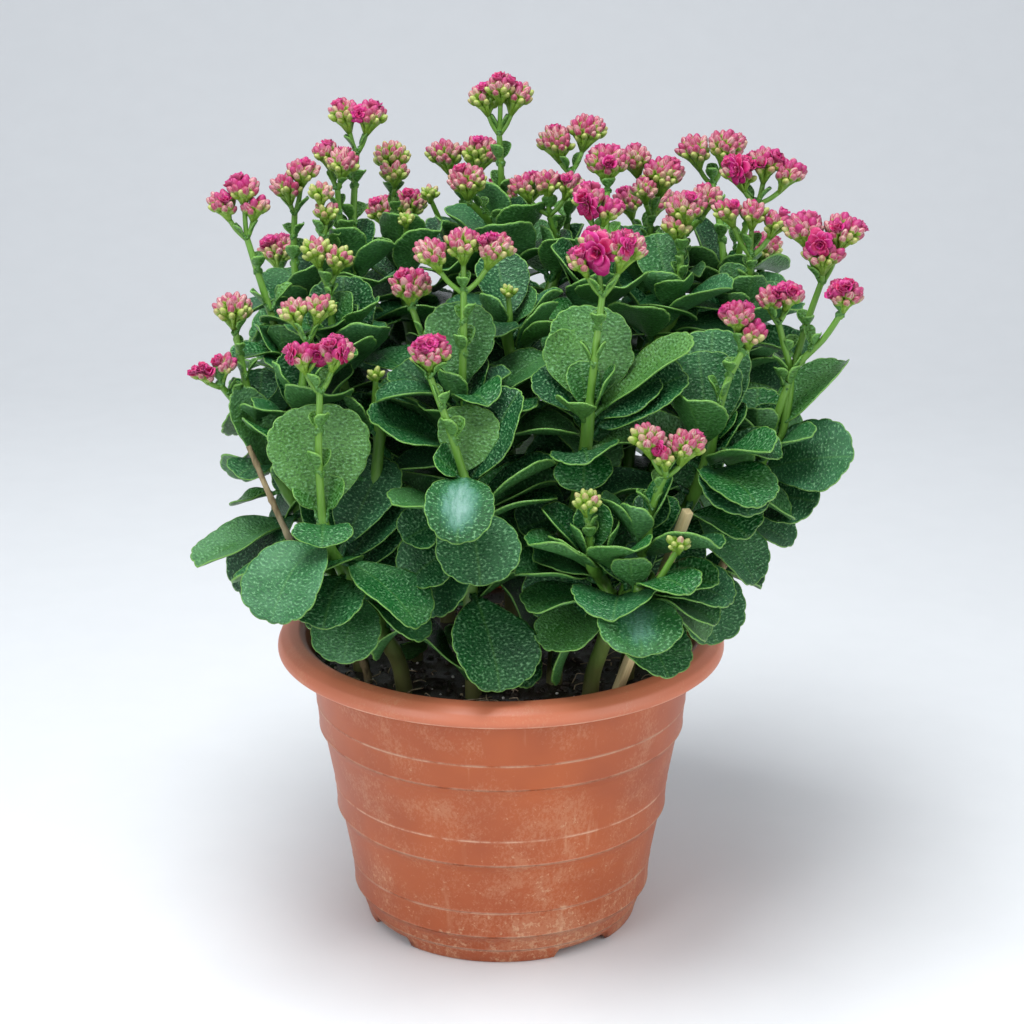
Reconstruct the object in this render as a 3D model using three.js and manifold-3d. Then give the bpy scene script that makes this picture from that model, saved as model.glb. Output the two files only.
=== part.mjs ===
// A flowering kalanchoe in a terracotta-coloured pot. Millimetres, +Z up.
// The plant is laid out round the pot's axis, with the front towards -Y, and the finished group is then
// moved so that the middle of its footprint is the origin.
import * as THREE from 'three';
import { mergeVertices } from 'three/addons/utils/BufferGeometryUtils.js';
import Module from 'manifold-3d';

const wasm = await Module();
wasm.setup();

// ---------------------------------------------------------------- driving dimensions
// Pot and soil.
const POT_SEGMENTS = 24;
const RIM_RADIUS = 120;
const RIM_TOP = 165;
const WALL = 2;
const FOOT_HEIGHT = 5;
const FLOOR_TOP = 7.5;
const FOOT_INNER_RADIUS = 67;
const FOOT_RING_RADIUS = 72;
const FOOT_NOTCH = { length: 30, width: 32, height: 4.4, turn: 37 };
const DRAIN = { radius: 5, circle: 42, length: 10, sides: 8 };
const SOIL_TOP = 149;
const SOIL_CROWN = 1;
const SOIL_SHOULDER = [60, 2];
const STEM_FOOT = 128;
const HOLE_SHARE = 1.18;
const HOLE_MOUTH = 10;
const HOLE_SIDES = 6;
const SEAT_GAP = 0.3;

// Stems and stalks.
const STEM_RADIUS = 4.4;
const APEX_RADIUS = 2.8;
const SIDE_SHOOT_SHARE = 0.8;
const STEM_COLLAR = { height: 3, upright: 6 };
const STEM_ARCH = 0.04;
const STEM_UPTURN = 0.14;
const STEM_RINGS = [4, 3];
const STEM_SIDES = 5;
const PEDUNCLE_RADII = [2.1, 1.7];
const PEDUNCLE_SIDES = 4;
const BRANCH = { below: 7, aside: 6, up: 6 };
const STALKLET_RADIUS = 1.5;
const STALKLET_SIDES = 3;
const STALKLET_OVERLAP = 0.6;
const SEAT_SPREAD = 0.4;
const ROD_RINGS = 5;
const STAKE_SIDE = 4.5;

// Leaves. A shoot's pairs are counted from its top.
const LEAF_LENGTH = 60;
const LEAF_HALF_THICKNESS = 1.15;
const ROOT_DEPTH = 1.2;
const CUP = 0.22;
const BLADE_START = { share: 0.15, length: 7.5 };
const PETIOLE = { width: 1.1, share: 0.024 };
const BLADE_SHAPE = { full: 0.97, obovate: 0.25 };
const SCALLOP = { notch: 0.91, crest: 1.03 };
const SCALLOP_LENGTHS = [34, 62];
const RIB_FEW = [0.6];
const RIB_MANY = [0.45, 0.78];
const WIDTH_SHARE = 0.8;
const PAIR_DISTANCE = [9, 19, 34, 53, 73, 93];
const PAIR_LENGTH = [0.46, 0.78, 1, 1.02, 1, 0.95];
const PAIR_RISE = [46, 42, 24, 6, -6, -16];
const PAIR_DROOP = [-26, 30, 60, 66, 62, 60];
const PAIR_SPREAD = { turn: 9, slope: 6, roll: 9, length: 0.08, width: 0.06 };
const LOWEST_PAIR = 12;
const FULL_TOP_LINE = 0;
const FACING_IN = -0.3;
const PLANT_MIDDLE = new THREE.Vector2(10, 10);
const CLEARANCE = 0.8;
const SIDE_CLEARANCE_SHARE = 0.7;
// Overlap in cubic millimetres that a leaf may have with its own stem, stalks and sister leaves.
const OWN_STEM_TOUCH = 90;
const OWN_STALK_TOUCH = 12;
const OWN_LEAF_TOUCH = 2;

// Flower heads.
const LOBE_FLAT = 0.42;
const BUD_DEPTH = 2.3;
const HEAD_CORE = 0.35;
const BUD_FLOOR = 0.6;
const HEAD_TURN = [0.5, 0.5, 3];
const WIDE_HEAD = 22;
const SMALL_HEAD = 7;
const BLOOM_PETALS = 5;
const BLOOM_DEPTH = 2;
const BLOOM_MIDDLE = 0.5;
const INNER_PETALS = { size: 0.5, height: 0.44 };
const OUTER_PETALS = { tip: 1, notch: 0.62, height: 0.1 };

// Outside of the pot from the foot up to the flange, as [radius, height]. Each raised belt starts with a
// small step outwards.
const POT_WALL = [
  [74, 0], [77.6, 14], [81, 18.3], [82.3, 33], [87.2, 59.5], [89.8, 64], [90.9, 78.6],
  [96, 106.5], [98.6, 111], [99.8, 125], [103.5, 150],
];
// Rolled flange from the wall out under its edge, over the top and down to the opening.
const POT_FLANGE = [
  [109, 158.6], [117.6, 153.6], [RIM_RADIUS, 154.6], [RIM_RADIUS, 157.2], [118.4, 161],
  [114, 164], [108.5, RIM_TOP], [105.2, 162.5],
];
const INNER_FLOOR_RADIUS = 73.2;

// ---------------------------------------------------------------- small helpers
const vec = (x, y, z) => new THREE.Vector3(x, y, z);
const toVec = (p) => vec(p[0], p[1], p[2]);

// Repeatable scatter between -1 and 1 from two whole numbers.
function scatter(first, second) {
  const wave = Math.sin(first * 12.9898 + second * 78.233) * 43758.5453;
  return 2 * (wave - Math.floor(wave)) - 1;
}

// A three.js geometry as a closed solid that can be joined and cut.
function solidOf(geometry) {
  const bare = new THREE.BufferGeometry();
  bare.setAttribute('position', geometry.getAttribute('position'));
  if (geometry.index) bare.setIndex(geometry.index);
  const merged = mergeVertices(bare, 1e-4);
  const mesh = new wasm.Mesh({
    numProp: 3,
    vertProperties: Float32Array.from(merged.getAttribute('position').array),
    triVerts: Uint32Array.from(merged.index.array),
  });
  return new wasm.Manifold(mesh);
}

function geometryOf(solid) {
  const mesh = solid.getMesh();
  const geometry = new THREE.BufferGeometry();
  geometry.setAttribute('position', new THREE.BufferAttribute(Float32Array.from(mesh.vertProperties), 3));
  geometry.setIndex(new THREE.BufferAttribute(Uint32Array.from(mesh.triVerts), 1));
  geometry.computeVertexNormals();
  return geometry;
}

function geometryFrom(points, faces) {
  const geometry = new THREE.BufferGeometry();
  const numbers = points.flatMap(({ x, y, z }) => [x, y, z]);
  geometry.setAttribute('position', new THREE.Float32BufferAttribute(numbers, 3));
  geometry.setIndex(faces.flat());
  return geometry;
}

const joined = (solids) => solids.reduce((whole, piece) => whole.add(piece));

const curveThrough = (points) => new THREE.CatmullRomCurve3(points, false, 'centripetal');

// Evenly spaced cross sections along a curve.
function sectionsAlong(curve, rings, startRadius, endRadius) {
  return Array.from({ length: rings + 1 }, (_, ring) => {
    const share = ring / rings;
    return {
      centre: curve.getPointAt(share),
      tangent: curve.getTangentAt(share),
      radius: THREE.MathUtils.lerp(startRadius, endRadius, share),
    };
  });
}

// One cross section at each point that the curve is drawn through. The last is level, because it meets
// the flat underside of a head.
function sectionsThrough(points, startRadius, endRadius) {
  const curve = curveThrough(points);
  return points.map((centre, index) => {
    const share = index / (points.length - 1);
    return {
      centre,
      tangent: share < 1 ? curve.getTangent(share) : vec(0, 0, 1),
      radius: THREE.MathUtils.lerp(startRadius, endRadius, share),
    };
  });
}

// A round stalk through its cross sections, with flat ends.
function stalkGeometry(stations, sides) {
  const points = [];
  const faces = [];
  const across = vec(1, 0, 0);
  stations.forEach(({ centre, tangent, radius }) => {
    const other = tangent.clone().cross(across).normalize();
    const first = other.clone().cross(tangent).normalize();
    for (let side = 0; side < sides; side += 1) {
      const angle = (2 * Math.PI * side) / sides;
      const point = centre.clone().addScaledVector(first, radius * Math.cos(angle));
      points.push(point.addScaledVector(other, radius * Math.sin(angle)));
    }
  });
  for (let ring = 0; ring + 1 < stations.length; ring += 1) {
    for (let side = 0; side < sides; side += 1) {
      const a = ring * sides + side;
      const b = ring * sides + ((side + 1) % sides);
      faces.push([a, b, b + sides], [a, b + sides, a + sides]);
    }
  }
  const last = (stations.length - 1) * sides;
  for (let side = 1; side < sides - 1; side += 1) {
    faces.push([0, side + 1, side], [last, last + side, last + side + 1]);
  }
  return geometryFrom(points, faces);
}

// ---------------------------------------------------------------- pot, soil, stake
function makePot() {
  const [wallRadius, wallHeight] = POT_WALL.at(-1);
  const foot = [[0, FOOT_HEIGHT], [FOOT_INNER_RADIUS - 1, FOOT_HEIGHT], [FOOT_INNER_RADIUS, 0]];
  const inner = [[wallRadius - WALL, wallHeight], [INNER_FLOOR_RADIUS, FLOOR_TOP], [0, FLOOR_TOP]];
  const profile = [...foot, ...POT_WALL, ...POT_FLANGE, ...inner];
  const turned = new THREE.LatheGeometry(profile.map(([r, z]) => new THREE.Vector2(r, z)), POT_SEGMENTS);
  turned.rotateX(Math.PI / 2);
  let pot = solidOf(turned);
  for (let quarter = 0; quarter < 4; quarter += 1) {
    const turn = THREE.MathUtils.degToRad(FOOT_NOTCH.turn - 90 + 90 * quarter);
    const notch = new THREE.BoxGeometry(FOOT_NOTCH.length, FOOT_NOTCH.width, 2 * FOOT_NOTCH.height);
    notch.translate(FOOT_RING_RADIUS, 0, 0);
    notch.rotateZ(turn);
    pot = pot.subtract(solidOf(notch));
    const drain = new THREE.CylinderGeometry(DRAIN.radius, DRAIN.radius, DRAIN.length, DRAIN.sides);
    drain.rotateX(Math.PI / 2);
    drain.translate(DRAIN.circle, 0, (FOOT_HEIGHT + FLOOR_TOP) / 2);
    drain.rotateZ(turn);
    pot = pot.subtract(solidOf(drain));
  }
  return pot;
}

// The soil lies just inside the wall and has a round hole with flat sides for each stem.
function makeSoil(holes) {
  const low = FLOOR_TOP + SEAT_GAP;
  const [wallRadius, wallHeight] = POT_WALL.at(-1);
  const slope = (wallRadius - WALL - INNER_FLOOR_RADIUS) / (wallHeight - FLOOR_TOP);
  const edge = (height) => INNER_FLOOR_RADIUS + slope * (height - FLOOR_TOP) - 1.3 * SEAT_GAP;
  const [shoulder, fall] = SOIL_SHOULDER;
  const side = SOIL_TOP - fall;
  const crown = SOIL_TOP + SOIL_CROWN;
  const profile = [[0, low], [edge(low), low], [edge(side), side], [shoulder, SOIL_TOP], [0, crown]];
  const turned = new THREE.LatheGeometry(profile.map(([r, z]) => new THREE.Vector2(r, z)), POT_SEGMENTS);
  turned.rotateX(Math.PI / 2);
  let soil = solidOf(turned);
  for (const [x, y, radius] of holes) {
    const depth = SOIL_TOP + HOLE_MOUTH - STEM_FOOT + SEAT_GAP;
    const hole = new THREE.CylinderGeometry(radius, radius, depth, HOLE_SIDES);
    hole.rotateX(Math.PI / 2);
    hole.translate(x, y, STEM_FOOT - SEAT_GAP + depth / 2);
    soil = soil.subtract(solidOf(hole));
  }
  return soil;
}

// ---------------------------------------------------------------- leaves
// One leaf grows from base along a circular arc: azimuth is its compass angle, rise its first slope and
// droop how far the slope has fallen at the tip, in degrees. Points at share s of its length and t from
// -1 to 1 across it.
function leafFrame(leaf, s) {
  const azimuth = THREE.MathUtils.degToRad(leaf.azimuth);
  const rise = THREE.MathUtils.degToRad(leaf.rise);
  const droop = THREE.MathUtils.degToRad(leaf.droop);
  const roll = THREE.MathUtils.degToRad(leaf.roll);
  const slope = rise - droop * s;
  const out = (leaf.length * (Math.sin(rise) - Math.sin(slope))) / droop;
  const up = (leaf.length * (Math.cos(slope) - Math.cos(rise))) / droop;
  const ahead = vec(Math.cos(azimuth), Math.sin(azimuth), 0);
  const across = vec(Math.sin(azimuth), -Math.cos(azimuth), 0);
  const normal = vec(0, 0, Math.cos(slope)).addScaledVector(ahead, -Math.sin(slope));
  const centre = leaf.base.clone().addScaledVector(ahead, out);
  centre.z += up;
  const side = across.clone().multiplyScalar(Math.cos(roll)).addScaledVector(normal, Math.sin(roll));
  const face = normal.multiplyScalar(Math.cos(roll)).addScaledVector(across, -Math.sin(roll));
  return { centre, side, face };
}

const bladeStart = (leaf) => Math.max(BLADE_START.share, BLADE_START.length / leaf.length);
const petioleHalfWidth = (leaf) => PETIOLE.width + PETIOLE.share * leaf.length;

function leafPoint(leaf, s, halfWidth, across, lift) {
  const frame = leafFrame(leaf, s);
  const cup = CUP * halfWidth * across * across;
  return frame.centre.addScaledVector(frame.side, across * halfWidth).addScaledVector(frame.face, cup + lift);
}

// Scalloped outline of one half, as [share of length, half width].
function leafOutline(leaf, scallops, grow) {
  const steps = 2 * scallops;
  const start = bladeStart(leaf);
  const narrow = petioleHalfWidth(leaf);
  const outline = [[start, narrow + grow]];
  for (let step = 1; step < steps; step += 1) {
    const angle = (Math.PI * step) / steps;
    const s = start + (1 - start) * (1 - Math.cos(angle)) / 2;
    const shape = Math.sin(angle) * (BLADE_SHAPE.full - BLADE_SHAPE.obovate * Math.cos(angle));
    const scallop = step % 2 === 0 ? SCALLOP.notch : SCALLOP.crest;
    outline.push([s, Math.max((leaf.width / 2) * shape * scallop, narrow) + grow]);
  }
  return outline;
}

// A leaf as a thin solid: thickest along its rib and sharp along its outline, from a root point inside
// the stem to its tip. Both faces are split into the same triangles.
function leafGeometry(leaf, scallops, grow = 0) {
  const outline = leafOutline(leaf, scallops, grow * SIDE_CLEARANCE_SHARE);
  const rib = [bladeStart(leaf), ...(scallops > 3 ? RIB_MANY : RIB_FEW)];
  const lift = LEAF_HALF_THICKNESS + grow;
  const root = leafFrame(leaf, 0).centre;
  const behind = THREE.MathUtils.degToRad(leaf.azimuth);
  root.add(vec(-ROOT_DEPTH * Math.cos(behind), -ROOT_DEPTH * Math.sin(behind), 0));
  const points = [root, leafPoint(leaf, 1, 0, 0, 0)];
  const [rootIndex, tipIndex] = [0, 1];
  const add = (point) => points.push(point) - 1;
  const rows = [lift, -lift].map((height) => rib.map((s) => add(leafPoint(leaf, s, 0, 0, height))));
  const edges = [1, -1].map((across) => (
    outline.map(([s, halfWidth]) => add(leafPoint(leaf, s, halfWidth, across, 0)))
  ));
  const faces = [];
  edges.forEach((edge, half) => {
    rows.forEach((row, side) => {
      const turned = half === side;
      const put = (a, b, c) => faces.push(turned ? [a, b, c] : [b, a, c]);
      put(rootIndex, edge[0], row[0]);
      let near = 0;
      edge.forEach((from, step) => {
        while (near + 1 < rib.length && rib[near + 1] <= outline[step][0] + 0.02) {
          put(from, row[near + 1], row[near]);
          near += 1;
        }
        put(from, step + 1 < edge.length ? edge[step + 1] : tipIndex, row[near]);
      });
    });
  });
  return geometryFrom(points, faces);
}

// Ways a leaf turns, lifts and shrinks when the place it would take is already held.
const SHIFTS = [
  [0, 0, 1], [11, 0, 1], [-11, 0, 1], [0, 11, 1], [0, -11, 1], [20, 8, 0.95], [-20, 8, 0.95],
  [20, -12, 0.95], [-20, -12, 0.95], [0, 22, 0.92], [0, -22, 0.92], [32, 4, 0.9], [-32, 4, 0.9],
  [15, 30, 0.88], [-15, 30, 0.88], [15, -30, 0.85], [-15, -30, 0.85], [0, 40, 0.8], [44, 14, 0.8],
  [-44, 14, 0.8], [0, 0, 0.72], [25, 45, 0.7], [-25, 45, 0.7], [0, 55, 0.62],
];

const shifted = (leaf, [turn, lift, scale]) => ({
  ...leaf,
  azimuth: leaf.azimuth + turn,
  rise: leaf.rise + lift,
  length: leaf.length * scale,
  width: leaf.width * scale,
});

// ---------------------------------------------------------------- flower heads
// A head is a dome of buds round its lobes. The corners and the face centres of a many-sided ball are
// bud tips and reach out to the lobes' surface, and the points between them lie deeper. Its underside is
// cut flat, where the stalklets meet it.
const directionsOf = (geometry) => {
  const places = geometry.getAttribute('position');
  return Array.from({ length: places.count }, (_, index) => (
    new THREE.Vector3().fromBufferAttribute(places, index).normalize()
  ));
};

// How far a ray from the origin runs before it leaves a ball round centre.
function exitDistance(way, centre, radius) {
  const along = way.dot(centre);
  const square = along * along - centre.lengthSq() + radius * radius;
  return square < 0 ? 0 : along + Math.sqrt(square);
}

function headShape(lobes) {
  const middle = lobes.reduce((sum, lobe) => sum.add(toVec(lobe)), vec(0, 0, 0)).divideScalar(lobes.length);
  const reach = Math.max(...lobes.map((lobe) => toVec(lobe).distanceTo(middle) + lobe[3]));
  const low = Math.min(...lobes.map(([, , z, radius]) => z - LOBE_FLAT * radius));
  return { middle, reach, low };
}

function headGeometry(lobes, seed) {
  const { middle, reach, low } = headShape(lobes);
  const wide = reach > WIDE_HEAD;
  const small = reach < SMALL_HEAD;
  const splits = small ? 1 : 2;
  const ball = wide ? new THREE.IcosahedronGeometry(1, splits) : new THREE.OctahedronGeometry(1, splits);
  const coarse = wide ? new THREE.IcosahedronGeometry(1, 0) : new THREE.OctahedronGeometry(1, 0);
  const corners = directionsOf(coarse);
  const tips = [...corners];
  for (let face = 0; face < corners.length && !small; face += 3) {
    const centre = corners[face].clone().add(corners[face + 1]).add(corners[face + 2]);
    tips.push(centre.normalize());
  }
  const spin = new THREE.Euler(...HEAD_TURN.map((most, axis) => most * scatter(seed, axis + 1)));
  const places = ball.getAttribute('position');
  directionsOf(ball).forEach((way, index) => {
    const isTip = tips.some((tip) => tip.distanceTo(way) < 0.05);
    way.applyEuler(spin);
    const exits = lobes.map((lobe) => exitDistance(way, toVec(lobe).sub(middle), lobe[3]));
    const far = Math.max(...exits, HEAD_CORE * reach);
    way.multiplyScalar(isTip ? far : Math.max(far - BUD_DEPTH, BUD_FLOOR * far));
    way.add(middle);
    places.setXYZ(index, way.x, way.y, Math.max(way.z, low));
  });
  return ball;
}

// An open double flower: an outer and an inner ring of petals round a raised middle, looking along its
// azimuth and rise.
function bloomGeometry([azimuth, rise, radius], lobes) {
  const { middle } = headShape(lobes);
  const tilt = THREE.MathUtils.degToRad(rise);
  const turn = THREE.MathUtils.degToRad(azimuth);
  const way = vec(Math.cos(tilt) * Math.cos(turn), Math.cos(tilt) * Math.sin(turn), Math.sin(tilt));
  const exits = lobes.map((lobe) => exitDistance(way, toVec(lobe).sub(middle), lobe[3]));
  const place = middle.addScaledVector(way, Math.max(...exits) - BLOOM_DEPTH);
  const points = [vec(0, 0, BLOOM_MIDDLE * radius), vec(0, 0, -BLOOM_MIDDLE * radius)];
  const addRing = (count, sizeOf, height, start) => {
    for (let step = 0; step < count; step += 1) {
      const angle = (2 * Math.PI * (step + start)) / count;
      const size = radius * sizeOf(step);
      points.push(vec(size * Math.cos(angle), size * Math.sin(angle), height * radius));
    }
  };
  const outerSize = (step) => (step % 2 === 0 ? OUTER_PETALS.tip : OUTER_PETALS.notch);
  addRing(BLOOM_PETALS, () => INNER_PETALS.size, INNER_PETALS.height, 0.5);
  addRing(2 * BLOOM_PETALS, outerSize, OUTER_PETALS.height, 0);
  const inner = (petal) => 2 + (petal % BLOOM_PETALS);
  const outer = (step) => 2 + BLOOM_PETALS + (step % (2 * BLOOM_PETALS));
  const faces = [];
  for (let petal = 0; petal < BLOOM_PETALS; petal += 1) {
    const [here, next] = [inner(petal), inner(petal + 1)];
    const [before, notch, after] = [outer(2 * petal), outer(2 * petal + 1), outer(2 * petal + 2)];
    faces.push([0, here, next], [here, before, notch], [here, notch, after], [here, after, next]);
    faces.push([1, notch, before], [1, after, notch]);
  }
  const geometry = geometryFrom(points, faces);
  geometry.rotateY(THREE.MathUtils.degToRad(90 - rise));
  geometry.rotateZ(THREE.MathUtils.degToRad(azimuth));
  geometry.translate(place.x, place.y, place.z);
  return geometry;
}

// ---------------------------------------------------------------- the plant's layout
// Shoots of each leafy stem. foot is the place in the soil, or fork the share of the main shoot where a
// side shoot leaves it; apex is its top, turn the compass angle of its top pair of leaves and pairs how
// many pairs it bears. Large leaves that show singly are given in own, as [distance below the apex,
// azimuth, rise, droop, length, width].
const STEMS = [
  [{ foot: [-50, -60],
    apex: [-87, -100, 256],
    turn: 0,
    pairs: 3,
    own: [[10, 95, 80, 6, 58, 50], [14, -125, 2, 80, 68, 46], [22, 178, 8, 30, 58, 38],
      [26, -40, -5, 45, 62, 44], [46, -85, -15, 50, 60, 44], [50, -165, -12, 45, 56, 42]] },
  { fork: 0.5, apex: [-60, -62, 298], turn: 20, pairs: 2 }],
  [{ foot: [-14, -64],
    apex: [-17, -95, 276],
    turn: 10,
    pairs: 3,
    own: [[14, -92, -5, 75, 56, 40], [34, -74, -12, 58, 66, 50], [24, 172, 30, 25, 58, 42],
      [36, 192, 5, 34, 60, 44], [20, 5, 38, 14, 52, 38], [66, -100, -20, 50, 60, 46]] }],
  [{ foot: [-12, -38],
    apex: [-19, -62, 311],
    turn: 60,
    pairs: 3,
    own: [[16, 22, 35, 12, 58, 44], [30, -8, 18, 42, 60, 46], [22, 160, 30, 20, 54, 42],
      [34, -150, 10, 40, 56, 42]] }],
  [{ foot: [28, -46],
    apex: [44, -75, 308],
    turn: 85,
    pairs: 3,
    own: [[9, 176, 32, -14, 44, 42], [9, -4, 30, -6, 50, 42], [14, 92, 62, 8, 54, 50],
      [24, 14, 12, 24, 60, 42], [40, 190, 8, 24, 54, 42], [58, 196, -2, 28, 52, 40],
      [48, -60, -10, 50, 58, 44], [22, -92, 0, 52, 34, 32]] }],
  [{ foot: [46, -70],
    apex: [72, -104, 253],
    turn: 60,
    pairs: 3,
    own: [[30, -8, 5, 40, 56, 42], [52, -40, -20, 45, 58, 42]] },
  { fork: 0.5,
    apex: [44, -112, 243],
    turn: 10,
    pairs: 2,
    own: [[12, 200, 12, 22, 46, 36], [24, 188, -5, 28, 52, 40], [38, 206, -15, 38, 54, 42],
      [50, 228, -28, 50, 50, 42]] },
  { fork: 0.5,
    apex: [68, -122, 231],
    turn: 80,
    pairs: 1,
    own: [[8, -86, 6, 56, 46, 42], [22, -104, -25, 58, 54, 42], [12, -12, 12, 36, 44, 36]] }],
  [{ foot: [66, -38],
    apex: [106, -65, 290],
    turn: 30,
    pairs: 3,
    own: [[18, -64, 12, 56, 50, 40], [46, -30, -8, 45, 58, 44], [68, -55, -25, 44, 58, 44],
      [36, -100, -5, 50, 54, 42]] }],
  [{ foot: [76, -12],
    apex: [138, -32, 280],
    turn: 70,
    pairs: 4,
    own: [[24, -20, 4, 22, 66, 44], [42, -44, -12, 34, 56, 44], [16, 28, 25, 30, 58, 42]] }],
  [{ foot: [-74, -28],
    apex: [-127, -36, 298],
    turn: 75,
    pairs: 4,
    own: [[30, -140, -2, 48, 60, 44], [52, 175, -10, 40, 58, 44]] },
  { fork: 0.5, apex: [-99, -57, 312], turn: 20, pairs: 2 }],
  [{ foot: [-46, -10], apex: [-86, -15, 329], turn: 10, pairs: 2 },
    { fork: 0.5, apex: [-113, -1, 316], turn: 60, pairs: 3 }],
  [{ foot: [-60, 30], apex: [-109, 44, 335], turn: 70, pairs: 4 },
    { fork: 0.5, apex: [-80, 62, 347], turn: 20, pairs: 2 }],
  [{ foot: [-30, 46], apex: [-54, 82, 347], turn: 45, pairs: 2 },
    { fork: 0.5, apex: [-20, 108, 345], turn: 0, pairs: 3 }],
  [{ foot: [6, 54], apex: [2, 86, 357], turn: 70, pairs: 2 },
    { fork: 0.5, apex: [32, 78, 352], turn: 30, pairs: 2 }],
  [{ foot: [32, 8], apex: [52, 18, 350], turn: 15, pairs: 2 },
    { fork: 0.25, apex: [2, -12, 336], turn: 50, pairs: 3 },
    { fork: 0.5, apex: [93, 16, 340], turn: 60, pairs: 2 }],
  [{ foot: [62, 38], apex: [80, 60, 348], turn: 45, pairs: 2 },
    { fork: 0.5, apex: [122, 72, 338], turn: 0, pairs: 3 },
    { fork: 0.25, apex: [130, 22, 332], turn: 60, pairs: 3 }],
  [{ foot: [-26, 76], apex: [-58, 126, 300], turn: 30, pairs: 4 },
    { fork: 0.25, apex: [-112, 94, 290], turn: 80, pairs: 4 },
    { fork: 0.25, apex: [10, 138, 302], turn: 60, pairs: 4 }],
  [{ foot: [46, 66], apex: [74, 124, 303], turn: 20, pairs: 4 },
    { fork: 0.25, apex: [132, 94, 284], turn: 70, pairs: 4 }],
];

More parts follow.
